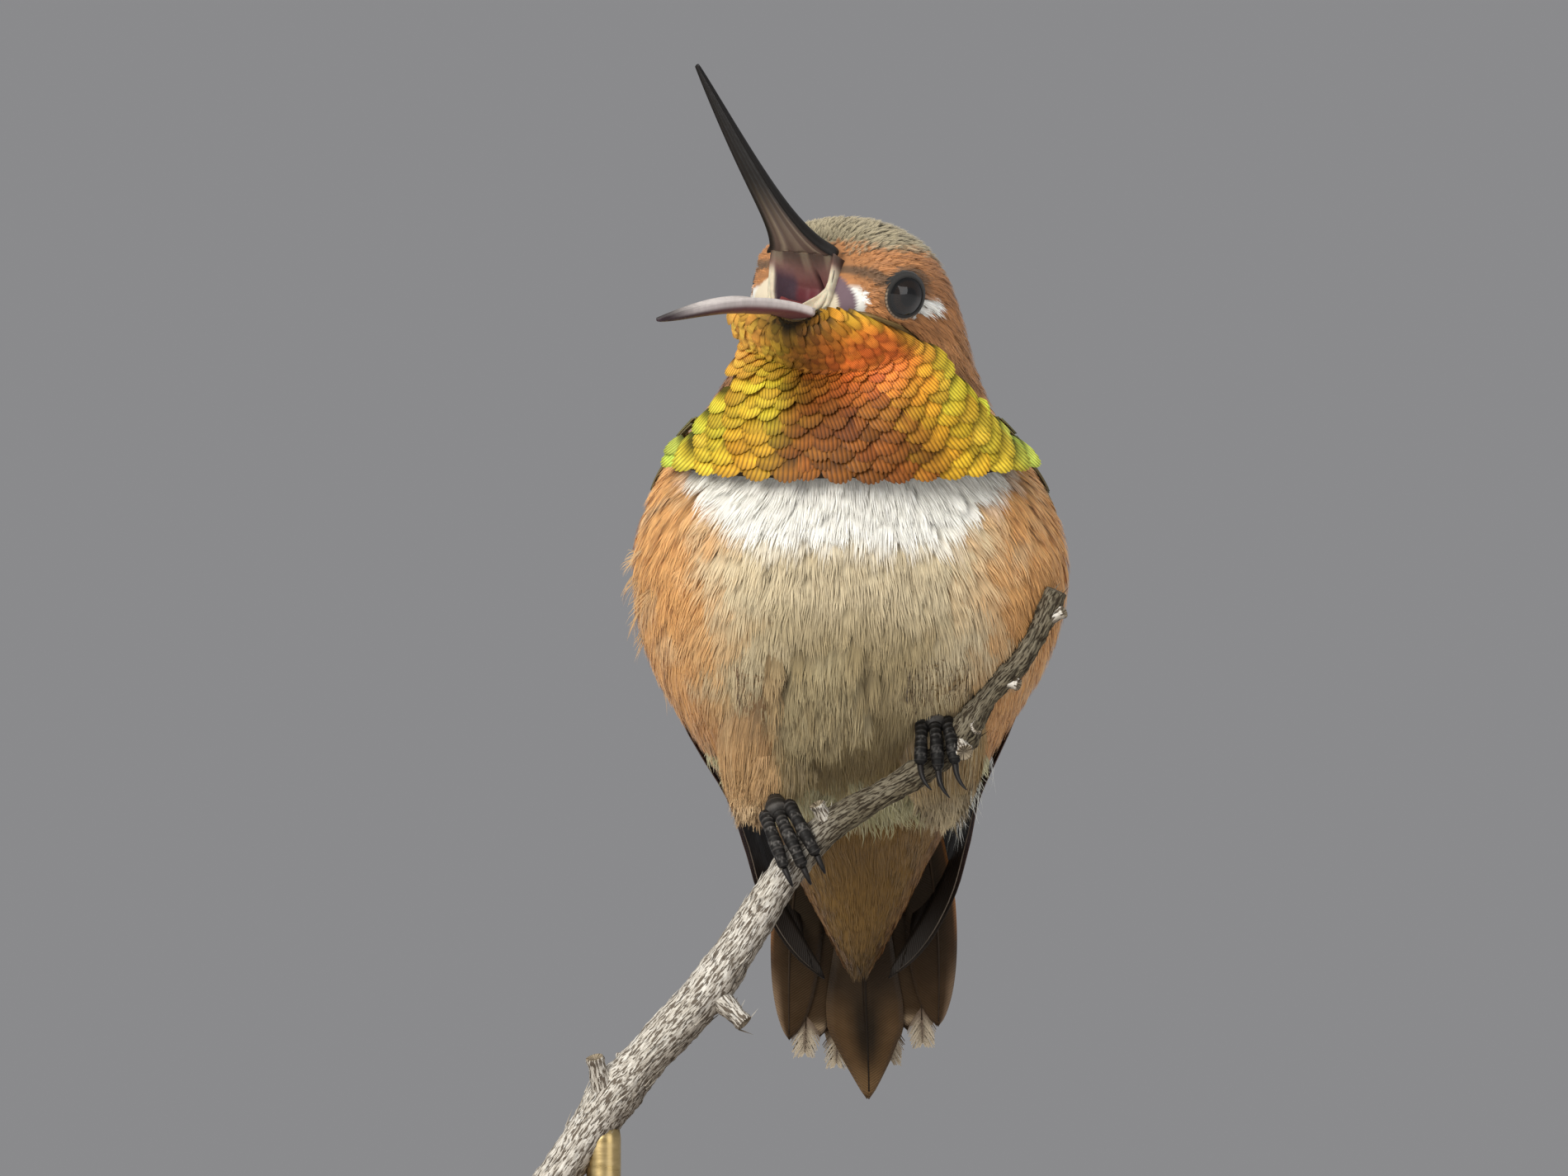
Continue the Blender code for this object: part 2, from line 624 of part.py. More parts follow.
def tail_slot():
    """The flat pocket between the coverts that the tail feathers grow out of."""
    root, down, under = tail_axes()
    depth = TAIL_STEP * (len(TAIL_FEATHERS) - 1.0 + 2.0 * TAIL_MIRROR_STEP) + TAIL_THICKNESS
    rings = []
    for reach, half_width in ((-TAIL_SLOT_REACH, TAIL_SLOT_ROOT),
                              (TAIL_FEATHERS[0][1], TAIL_SLOT_END)):
        ring = []
        for side, level in ((-1.0, -GAP), (1.0, -GAP), (1.0, depth + GAP), (-1.0, depth + GAP)):
            point = root + down * reach + under * level
            ring.append(point + np.array((side * half_width, 0.0, 0.0)))
        rings.append(ring)
    slot = add_object("tail_slot", mesh_from_rings("tail_slot", rings), "flight",
                      CUTTER_COLLECTION)
    slot.hide_render = True
    slot.display_type = "WIRE"
    return slot


def wing_section(share, sign):
    """One slice across the folded wing, from its leading to its trailing edge."""
    keys = np.linspace(0.0, 1.0, len(WING))
    station, lead_degrees, lead_lift, trail_degrees, trail_lift = spline(keys, WING, share)
    if share > WING_COVERTS_END:
        free = (share - WING_COVERTS_END) / (1.0 - WING_COVERTS_END)
        trail_degrees += WING_SCALLOP * ((free * WING_TIPS) % 1.0 - 0.5) * (1.0 - free)
    thick = WING_THICKNESS + (WING_TIP_THICKNESS - WING_THICKNESS) * share
    swell = 0.35 * math.exp(-((share - 0.08) / 0.12)**2)
    points = []
    for x, y in ((0.0, 0.0), (0.0, 0.8), (0.25, 1.0 + swell), (0.5, 1.0 + swell),
                 (0.75, 0.9 + 0.5 * swell), (1.0, 0.62), (1.0, 0.0), (0.75, 0.0),
                 (0.5, 0.0), (0.25, 0.0)):
        degrees = lead_degrees + (trail_degrees - lead_degrees) * x
        lift = lead_lift + (trail_lift - lead_lift) * x + thick * y
        points.append(body_point(station, sign * degrees, lift))
    return points


def build_wing(side):
    sign = 1.0 if side == "left" else -1.0
    pieces = []
    for part, start, end, count in (
            ("coverts", 0.0, WING_COVERTS_END - WING_SLIT, 9),
            ("primaries", WING_COVERTS_END + WING_SLIT, 1.0, 15)):
        name = "wing_" + side + "_" + part
        rings = [wing_section(share, sign) for share in np.linspace(start, end, count)]
        finish = "crown" if part == "coverts" else "flight"
        pieces.append(add_object(name, mesh_from_rings(name, rings), finish))
    return pieces


# ---------------------------------------------------------------- twig, legs and feet

def twig_point(x):
    """The twig's middle, its radius and its direction at a given x."""
    rows = smooth_path(TWIG, 121)
    i = int(np.argmin(np.abs(rows[:, 0] - x)))
    heading = rows[min(i + 1, len(rows) - 1), :3] - rows[max(i - 1, 0), :3]
    return rows[i, :3], rows[i, 3], heading / np.linalg.norm(heading)


def build_twig():
    twig = add_object("perch_twig", tapered_tube("perch_twig", smooth_path(TWIG, 34), 3), "bark")
    for root, tip, root_radius, tip_radius in TWIG_STUBS:
        root = np.array(root)
        tip = np.array(tip)
        rows = [(*(root + (tip - root) * share), root_radius + (tip_radius - root_radius) * share)
                for share in (0.0, 0.35, 0.7, 0.9, 1.0)]
        stub = add_object("stub", tapered_tube("stub", rows, 2), "bark")
        combine(twig, stub, "UNION")
        bpy.data.objects.remove(stub, do_unlink=True)
    return twig


def leg_socket(side, pad_centre, top_point):
    """A clean sleeve round a leg, to cut the body and the thigh with."""
    upward = (top_point - pad_centre) / np.linalg.norm(top_point - pad_centre)
    pad = PAD_RADIUS + GAP
    shank = SHANK_RADIUS + GAP
    rows = [(*(pad_centre - upward * pad), pad), (*(pad_centre + upward * pad), pad),
            (*(pad_centre + upward * (pad + GAP)), shank), (*(top_point + upward * GAP), shank)]
    socket = add_object("socket_" + side, tapered_tube("socket", rows, 3), "foot",
                        CUTTER_COLLECTION)
    socket.hide_render = True
    socket.display_type = "WIRE"
    return socket


def build_foot(side, twig):
    """Shank, pad, three front toes, the hind toe and their claws, and the leg's socket."""
    anchor_x, (run_x, run_z), rise = FEET[side]
    anchor, twig_radius, along = twig_point(anchor_x)
    top = -np.array((run_x, 0.0, run_z)) / math.hypot(run_x, run_z)
    front = np.array((0.0, -1.0, 0.0))
    across = np.cross(top, front)
    reach = twig_radius + TOE_RADIUS + TOE_CLEARANCE
    slant = abs(float(np.dot(along, across)))

    def toe_point(degrees, shift, lift=0.0):
        """A point over the twig: degrees from its top, positive towards the front."""
        angle = math.radians(degrees)
        upward = (reach + lift) / slant
        if math.cos(angle) > 0.0:
            upward += (rise - upward) * math.cos(angle)
        return (anchor + top * upward * math.cos(angle)
                + front * (reach + lift) * math.sin(angle) + across * shift)

    pad_centre = anchor + top * rise
    leg = add_ball("leg_" + side, pad_centre, PAD_RADIUS, "foot")
    top_point = np.array(SHANK_TOP[side])
    rows = [(*(pad_centre + (top_point - pad_centre) * share), SHANK_RADIUS)
            for share in (0.05, 0.5, 1.0)]
    shank = add_object("shank", tapered_tube("shank", rows, 2), "foot")
    combine(leg, shank, "UNION")
    bpy.data.objects.remove(shank, do_unlink=True)
    pieces = [leg]
    toes = [(name, 1.0, end, shift) for (name, end), shift in zip(
        TOE_ENDS, (-TOE_SPACING, 0.0, TOE_SPACING))]
    toes.append(("hind", -1.0, HALLUX_END, 0.0))
    for name, way, end, shift in toes:
        toe_rows = []
        for step in np.linspace(0.0, 1.0, 7):
            degrees = TOE_START + (end - TOE_START) * step
            point = toe_point(way * degrees, shift * (TOE_ROOT_SPACING + TOE_SPREAD * step))
            toe_rows.append((*point, TOE_RADIUS * (TOE_ROOT_WIDTH - TOE_TAPER * step)))
        toe = add_object("toe_%s_%s" % (side, name), tapered_tube("toe", toe_rows, 1), "foot")
        cut_clear(toe, [leg, twig], TOE_GAP)
        claw_rows = []
        for step in np.linspace(0.0, 1.0, 5):
            degrees = end + CLAW_START + CLAW_SWEEP * step
            point = toe_point(way * degrees, shift * (TOE_ROOT_SPACING + TOE_SPREAD),
                              CLAW_LIFT * step)
            claw_rows.append((*point, CLAW_RADIUS + (CLAW_TIP - CLAW_RADIUS) * step**1.3))
        claw = add_object("claw_%s_%s" % (side, name), tapered_tube("claw", claw_rows, 1), "horn")
        cut_clear(claw, [toe, twig], TOE_GAP)
        pieces += [toe, claw]
    return pieces, leg_socket(side, pad_centre, top_point)


def build_thigh(side):
    centre, half_sizes, lean = THIGHS[side]
    bm = bmesh.new()
    bmesh.ops.create_uvsphere(bm, u_segments=16, v_segments=10, radius=1.0)
    for vert in bm.verts:
        taper = 1.0 - 0.30 * max(-vert.co.z, 0.0)
        x = vert.co.x * taper * half_sizes[0]
        z = vert.co.z * half_sizes[2]
        tilt = math.radians(lean)
        vert.co = Vector((centre[0] + x * math.cos(tilt) - z * math.sin(tilt),
                          centre[1] + vert.co.y * taper * half_sizes[1],
                          centre[2] + x * math.sin(tilt) + z * math.cos(tilt))) * MM
    mesh = bpy.data.meshes.new("thigh_" + side)
    bm.to_mesh(mesh)
    bm.free()
    return add_object("thigh_" + side, mesh, "buff")


# ---------------------------------------------------------------- stand

def build_stand(twig):
    profile = [(0.0, BASE_HEIGHT), (BASE_RADIUS - BASE_EDGE, BASE_HEIGHT)]
    for i in range(1, 5):
        angle = math.radians(90.0 - 90.0 * i / 4)
        profile.append((BASE_RADIUS - BASE_EDGE + BASE_EDGE * math.cos(angle),
                        BASE_HEIGHT - BASE_EDGE + BASE_EDGE * math.sin(angle)))
    profile += [(BASE_RADIUS, 0.5), (BASE_RADIUS - 0.5, 0.0), (0.0, 0.0)]
    mesh = bpy.data.meshes.new("stand_base")
    mesh.from_pydata([(x * MM, 0.0, z * MM) for x, z in profile],
                     [(i, i + 1) for i in range(len(profile) - 1)], [])
    base = add_object("stand_base", mesh, "base_wood")
    turn = base.modifiers.new("turned", "SCREW")
    turn.steps = 32
    turn.render_steps = 32
    turn.use_merge_vertices = True
    turn.merge_threshold = 0.00001

    reach = twig_point(ROD_X)[0][2] - BASE_HEIGHT - GAP
    bpy.ops.mesh.primitive_cylinder_add(
        vertices=16, radius=ROD_RADIUS * MM, depth=reach * MM,
        location=(ROD_X * MM, ROD_Y * MM, (BASE_HEIGHT + GAP + reach / 2.0) * MM))
    rod = bpy.context.active_object
    rod.name = "stand_rod"
    for owner in list(rod.users_collection):
        owner.objects.unlink(rod)
    bpy.data.collections[COLLECTION].objects.link(rod)
    rod.data.materials.append(finish_material("rod_metal"))
    bpy.context.view_layer.update()
    rod.data.transform(rod.matrix_world)
    rod.matrix_world.identity()
    cut_clear(rod, [twig])
    return base, rod


# ---------------------------------------------------------------- the whole bird

def main():
    start_clean()
    eyes = [build_eye(side) for side in ("left", "right")]
    build_head(eyes)
    build_bill()
    trunk = build_trunk()
    build_gorget()
    build_tail()
    twig = build_twig()
    wings = build_wing("left") + build_wing("right")
    left_foot, left_socket = build_foot("left", twig)
    right_foot, right_socket = build_foot("right", twig)
    digits = left_foot[1:] + right_foot[1:]
    sockets = [left_socket, right_socket]
    build_stand(twig)

    slot = tail_slot()
    for part in (trunk["tail_coverts"], trunk["rump"]):
        combine(part, slot, "DIFFERENCE")
    for part in trunk.values():
        cut_clear(part, [twig] + digits)
        cut_clear(part, sockets, 0.0)
    body = whole_body()
    for side in ("left", "right"):
        thigh = build_thigh(side)
        combine(thigh, body, "DIFFERENCE")
        cut_clear(thigh, [twig] + digits + wings)
        cut_clear(thigh, sockets, 0.0)
    for cutter in list(bpy.data.collections[CUTTER_COLLECTION].objects):
        bpy.data.objects.remove(cutter, do_unlink=True)


main()
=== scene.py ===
"""Looks of a perched adult male rufous hummingbird, life size, on its cut twig and stand.

One skin carries the whole body; feathers lie over it as thin vanes and barbs that follow the
lie of the coat from the face to the tail.  Lengths are in millimetres up to the point where a
mesh is made.  The bird faces -Y and its own left side is +X.
"""

import math
from math import pi

import bpy
import numpy as np
from numpy import (array, arange, asarray, broadcast_to, clip, concatenate, cos, cross, exp,
                   full, gradient, interp, linspace, maximum, meshgrid, minimum, radians,
                   repeat, sin, stack, where, zeros)
from numpy.linalg import norm
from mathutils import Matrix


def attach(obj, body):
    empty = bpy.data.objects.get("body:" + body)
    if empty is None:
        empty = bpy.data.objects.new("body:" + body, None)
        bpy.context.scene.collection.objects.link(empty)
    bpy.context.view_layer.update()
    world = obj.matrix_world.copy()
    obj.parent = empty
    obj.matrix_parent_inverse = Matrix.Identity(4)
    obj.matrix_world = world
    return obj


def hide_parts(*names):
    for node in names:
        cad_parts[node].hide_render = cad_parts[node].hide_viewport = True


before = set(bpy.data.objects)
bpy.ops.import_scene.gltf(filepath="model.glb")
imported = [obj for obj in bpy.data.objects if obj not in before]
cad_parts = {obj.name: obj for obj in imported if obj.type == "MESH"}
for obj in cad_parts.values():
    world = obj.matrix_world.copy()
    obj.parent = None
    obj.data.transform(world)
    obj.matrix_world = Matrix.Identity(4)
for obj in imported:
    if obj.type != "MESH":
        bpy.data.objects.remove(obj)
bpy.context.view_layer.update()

MM = 0.001
GAP = 0.08                  # between the face's end and the bill and mouth
PATCH = 0.003               # width of a feather's own patch on the OFBake map

# Body stations, tail to face: centre x, y, z; yaw and pitch; half width; back; breast.
STATIONS = array((
    (4.4, 14.3, 24.6, 0.0, 58.0, 0.5, 0.35, 0.45),
    (4.4, 12.2, 28.2, 0.0, 57.0, 2.5, 1.5, 1.7),
    (4.3, 9.6, 31.9, 0.0, 56.0, 4.5, 3.0, 2.9),
    (4.0, 6.4, 35.4, 0.0, 55.0, 6.85, 5.0, 4.4),
    (3.7, 2.6, 39.4, 0.0, 56.0, 9.55, 7.3, 6.1),
    (3.75, -1.4, 44.0, 0.0, 58.0, 12.05, 8.8, 8.3),
    (3.85, -4.4, 48.8, 0.0, 61.0, 12.7, 9.2, 9.2),
    (3.7, -6.3, 52.8, 0.0, 64.0, 11.3, 8.3, 8.2),
    (3.7, -7.4, 56.0, 0.0, 64.0, 9.0, 7.0, 6.8),
    (3.9, -8.1, 59.0, 7.0, 60.0, 7.4, 6.1, 5.9),
    (3.95, -8.7, 61.6, 17.0, 48.0, 6.65, 5.4, 5.3),
    (3.75, -9.3, 63.6, 29.0, 36.0, 6.25, 4.9, 4.9),
    (2.85, -10.9, 64.6, 36.0, 29.0, 6.0, 4.35, 4.35),
    (1.8, -12.3, 65.0, 37.0, 24.0, 4.85, 3.45, 3.6),
    (1.35, -13.1, 65.05, 37.0, 20.0, 2.6, 2.1, 2.7),
))
HEAD_ROLL = 4.0
ROLL_STARTS = 9.0
FACE_END = 14.0
TABLE_STEP = 0.01
TAIL_REACH = 3.0            # the body's line is carried on this many stations past its end

# How far the skin lies under the tips of the coat: station, depth.
COAT_DEPTH = ((0.0, 0.25), (1.5, 0.4), (3.0, 0.8), (5.0, 1.0), (8.0, 0.9), (9.5, 0.6),
              (10.5, 0.42), (12.5, 0.34), (14.0, 0.22))

GORGET_HALF_ANGLE = 84.0
GORGET_CHIN = 13.97

EYE_STATION = 11.93
EYE_RADIUS = 1.7
EYE_INSET = 1.4            # eye centre below the surface of the face
EYE_FLATNESS = 0.82         # the globe is shallower than it is wide
EYE_OPENING = 41.0          # half angle of the opening between the lids

UPPER_TIP = (-4.95, -25.0, 76.9)
LOWER_TIP = (-7.2, -25.2, 62.4)
UPPER_ABOVE = 0.95
LOWER_BELOW = 2.25
BILL_START = 0.6
BILL_TIP = 0.12

TAIL_ROOT = (4.65, 9.3, 36.4)
TAIL_PITCH = 58.5

WING = array((
    (7.6, 60.0, 0.12, 36.0, 0.12), (6.9, 63.0, 0.12, 30.0, 0.12), (6.0, 66.0, 0.12, 28.0, 0.12),
    (5.0, 66.0, 0.12, 28.0, 0.12), (4.0, 69.0, 0.12, 30.0, 0.12), (3.0, 80.0, 0.4, 40.0, 0.12),
    (2.2, 90.0, 1.5, 60.0, 0.7), (1.5, 96.0, 2.4, 78.0, 1.5), (0.9, 99.0, 2.65, 86.0, 1.6),
    (0.4, 102.0, 2.4, 90.0, 1.1), (0.0, 106.0, 1.6, 95.0, 1.0),
))

TWIG = array((
    (-16.4, -5.0, 8.2, 1.25), (-14.8, -5.1, 10.6, 1.24), (-13.0, -5.2, 13.2, 1.22),
    (-11.3, -5.3, 15.6, 1.26), (-9.9, -5.4, 17.7, 1.52), (-8.7, -5.4, 19.1, 1.32),
    (-7.2, -5.5, 20.8, 1.28), (-5.4, -5.5, 22.7, 1.3), (-4.0, -5.5, 24.4, 1.3),
    (-2.7, -5.6, 26.3, 1.18), (-1.5, -5.6, 28.2, 1.1), (-0.4, -5.7, 29.9, 1.05),
    (1.0, -5.8, 31.8, 1.02), (2.7, -5.9, 33.4, 0.94), (4.6, -6.0, 34.6, 0.82),
    (6.4, -6.2, 35.6, 0.78), (8.0, -6.4, 36.6, 0.78), (9.2, -6.5, 37.5, 0.86),
    (10.2, -6.7, 38.5, 0.96), (11.0, -6.9, 39.8, 0.76), (12.1, -7.2, 41.3, 0.66),
    (13.7, -7.6, 43.0, 0.66), (14.8, -7.9, 44.9, 0.6), (15.7, -8.1, 46.9, 0.66),
))
TWIG_STUBS = (
    ((-10.3, -5.8, 17.6), (-10.9, -6.7, 20.0), 0.8, 0.42),
    ((-9.3, -5.4, 18.2), (-9.2, -5.3, 20.2), 0.7, 0.38),
    ((-3.9, -5.7, 23.6), (-2.3, -6.3, 22.0), 0.8, 0.42),
    ((2.6, -6.0, 33.3), (1.9, -6.5, 34.6), 0.6, 0.36),
    ((9.9, -6.8, 38.2), (10.4, -8.0, 37.6), 0.62, 0.42),
    ((10.2, -6.7, 38.6), (11.1, -7.4, 39.1), 0.6, 0.36),
    ((12.6, -7.3, 41.8), (13.5, -7.7, 41.5), 0.46, 0.3),
    ((15.0, -7.9, 45.2), (16.1, -8.4, 45.7), 0.46, 0.3),
)

FEET = {"right": (0.95, (1.9, -4.2), 3.0), "left": (8.75, (0.3, -4.2), 2.15)}
SHANK_TOP = {"right": (-0.9, -2.6, 37.4), "left": (8.3, -3.6, 41.0)}
TOE_RADIUS = 0.38
TOE_SPACING = 0.69
TOE_SPREAD = 0.36
TOE_ROOT_SPACING = 1.1
TOE_ROOT_WIDTH = 1.08
TOE_CLEARANCE = 0.16
TOE_START = 22.0
TOE_ENDS = (("inner", 98.0), ("middle", 111.0), ("outer", 101.0))
HALLUX_END = 105.0
CLAW_START = 5.0
CLAW_SWEEP = 31.0

THIGHS = {
    "right": ((-1.6, -1.6, 37.0), (2.5, 2.5, 3.7), -10.0),
    "left": ((9.0, -1.8, 37.3), (3.0, 2.5, 4.3), 4.0),
}

WING_MARGIN = 7.0           # degrees of coat that run on under a wing's edges
BASE_RADIUS = 27.0
BASE_HEIGHT = 4.0
CAMERA_LENS = 794.2
CAMERA_PLACE = (0.0, -2.0, 0.04707)
LIGHTS_AIM = (0.0, 0.0, 0.048)
ROD_X = -10.4
ROD_Y = -5.4

# Colours of the plumage and the bare parts, linear red, green, blue.
WHITE = (0.93, 0.915, 0.85)
CREAM = (0.72, 0.6, 0.385)
BELLY_GOLD = (0.4, 0.295, 0.125)
OLIVE_BUFF = (0.37, 0.275, 0.105)
CINNAMON = (0.72, 0.375, 0.125)
RUFOUS = (0.46, 0.215, 0.075)
FACE_RUFOUS = (0.45, 0.19, 0.06)
CROWN = (0.31, 0.26, 0.155)
SPECK = (0.12, 0.105, 0.075)
UNDERTAIL = (0.235, 0.128, 0.022)
BRONZE = (0.16, 0.17, 0.06)
VENT = (0.68, 0.6, 0.34)
LORE = (0.115, 0.062, 0.028)
GAPE_PURPLE = (0.135, 0.085, 0.105)
GAPE_IVORY = (0.62, 0.54, 0.4)
BRONZE_ORANGE = (0.245, 0.08, 0.011)
EMBER = (0.8, 0.2, 0.03)
FLAME = (1.0, 0.52, 0.09)
GOLD = (0.64, 0.33, 0.02)
LEMON = (0.74, 0.58, 0.045)
LIME = (0.56, 0.7, 0.1)
THROAT_SHADE = (0.17, 0.1, 0.016)

rng = np.random.default_rng(27)


# ---------------------------------------------------------------- curves and the body's form

def spline(keys, values, wanted):
    """Cubic through rows of values at increasing keys, read at many places at once."""
    keys = asarray(keys, float)
    values = asarray(values, float)
    wanted = clip(asarray(wanted, float), keys[0], keys[-1])
    slopes = np.empty_like(values)
    slopes[1:-1] = (values[2:] - values[:-2]) / (keys[2:] - keys[:-2])[:, None]
    slopes[0] = (values[1] - values[0]) / (keys[1] - keys[0])
    slopes[-1] = (values[-1] - values[-2]) / (keys[-1] - keys[-2])
    i = clip(np.searchsorted(keys, wanted, side="right") - 1, 0, len(keys) - 2)
    span = (keys[i + 1] - keys[i])[:, None]
    x = (wanted - keys[i])[:, None] / span
    return ((2 * x**3 - 3 * x**2 + 1) * values[i] + (x**3 - 2 * x**2 + x) * span * slopes[i]
        + (-2 * x**3 + 3 * x**2) * values[i + 1] + (x**3 - x**2) * span * slopes[i + 1])


def body_table():
    """Rows of the body's stations at every TABLE_STEP, carried on straight past the tail end."""
    keys = arange(-TAIL_REACH, FACE_END + TABLE_STEP / 2, TABLE_STEP)
    rows = spline(arange(len(STATIONS)), STATIONS, keys)
    past = keys < 0.0
    rows[past, :3] += keys[past, None] * (STATIONS[1, :3] - STATIONS[0, :3])
    return keys, rows


TABLE_KEYS, TABLE_ROWS = body_table()


def unit(vectors):
    return vectors / maximum(norm(vectors, axis=-1, keepdims=True), 1e-9)


def fields(*values):
    """Numbers, or arrays of them, brought to one shape."""
    return np.broadcast_arrays(*(asarray(value, float) for value in values))


def circle(count):
    """Angles of a full turn."""
    return linspace(0.0, 2.0 * pi, count, endpoint=False)


def run_of(path):
    """How far along a path each of its points lies."""
    return concatenate(([0.0], np.cumsum(norm(np.diff(path, axis=0), axis=1))))


def capped(values):
    """Rows with the first and the last said twice, for the caps of a closed tube."""
    return concatenate((values[:1], values, values[-1:]))


def wrapped(values):
    """Values over the face of a closed vane or pad, carried on over its back and its caps."""
    return capped(concatenate((values, values[:, ::-1]), axis=1))


def arch(root, bend, end, t):
    """Lines from roots to ends, drawn towards the bends between them."""
    return root[:, None] * (1 - t)**2 + bend[:, None] * 2 * t * (1 - t) + end[:, None] * t**2


def smooth(low, high, value):
    """0 below low, 1 above high, eased between."""
    x = clip((asarray(value, float) - low) / (high - low), 0.0, 1.0)
    return x * x * (3.0 - 2.0 * x)


def body_frame(station):
    """Centre, forward, left and dorsal directions and radii at stations."""
    row = stack([interp(station, TABLE_KEYS, TABLE_ROWS[:, i]) for i in range(8)], axis=-1)
    yaw = radians(row[..., 3])
    pitch = radians(row[..., 4])
    roll = radians(HEAD_ROLL * clip((station - ROLL_STARTS) / 3.0, 0.0, 1.0))[..., None]
    forward = stack((-sin(yaw) * cos(pitch), -cos(yaw) * cos(pitch), sin(pitch)), axis=-1)
    left = stack((cos(yaw), -sin(yaw), np.zeros_like(yaw)), axis=-1)
    dorsal = cross(forward, left)
    turned = left * cos(roll) - dorsal * sin(roll)
    return row[..., :3], forward, turned, cross(forward, turned), row[..., 5:]


def body_points(station, degrees, lift=0.0):
    """Points of the body; degrees run from the back round by the bird's left side."""
    station, degrees, lift = fields(station, degrees, lift)
    centre, _, left, dorsal, radii = body_frame(station)
    angle = radians(degrees)
    depth = where(cos(angle) > 0.0, radii[..., 1], radii[..., 2])
    return (centre + left * ((radii[..., 0] + lift) * sin(angle))[..., None] + dorsal
        * ((depth + lift) * cos(angle))[..., None])


FACE = body_frame(array(FACE_END))
EYE_LINE = body_frame(array(EYE_STATION))


def body_gradients(station, degrees):
    """How the surface moves per station and per degree."""
    along = body_points(station + 0.03, degrees) - body_points(station - 0.03, degrees)
    around = body_points(station, degrees + 1.0) - body_points(station, degrees - 1.0)
    return along / 0.06, around / 2.0


def body_normals(station, degrees):
    along, around = body_gradients(station, degrees)
    return unit(cross(along, around))


def coat_depth(station):
    keys, depths = zip(*COAT_DEPTH)
    return interp(station, keys, depths)


# ---------------------------------------------------------------- markings

def blend(first, second, share):
    share = clip(asarray(share, float), 0.0, 1.0)[..., None]
    return asarray(first) * (1.0 - share) + asarray(second) * share


def ripple(a, b, seed=0.0):
    """A cheap smooth unevenness of two coordinates, from -1 to 1."""
    return (sin(a * 1.7 + 1.3 * sin(b * 1.1 + seed)) * 0.5 + sin(a * 3.9 + b * 2.3 + seed * 2.1)
        * 0.3 + sin(b * 6.1 - a * 2.9 + seed * 0.7) * 0.2)


def gape_edges(off):
    """Stations past which the corner of the gape is bare, and past which it is ivory."""
    bare = interp(off, (46.0, 55.0, 69.0, 79.0, 94.0), (12.85, 13.0, 13.34, 13.66, 14.05))
    ivory = interp(off, (40.0, 48.0, 64.0, 80.0), (13.25, 13.46, 13.84, 14.1))
    return bare, ivory


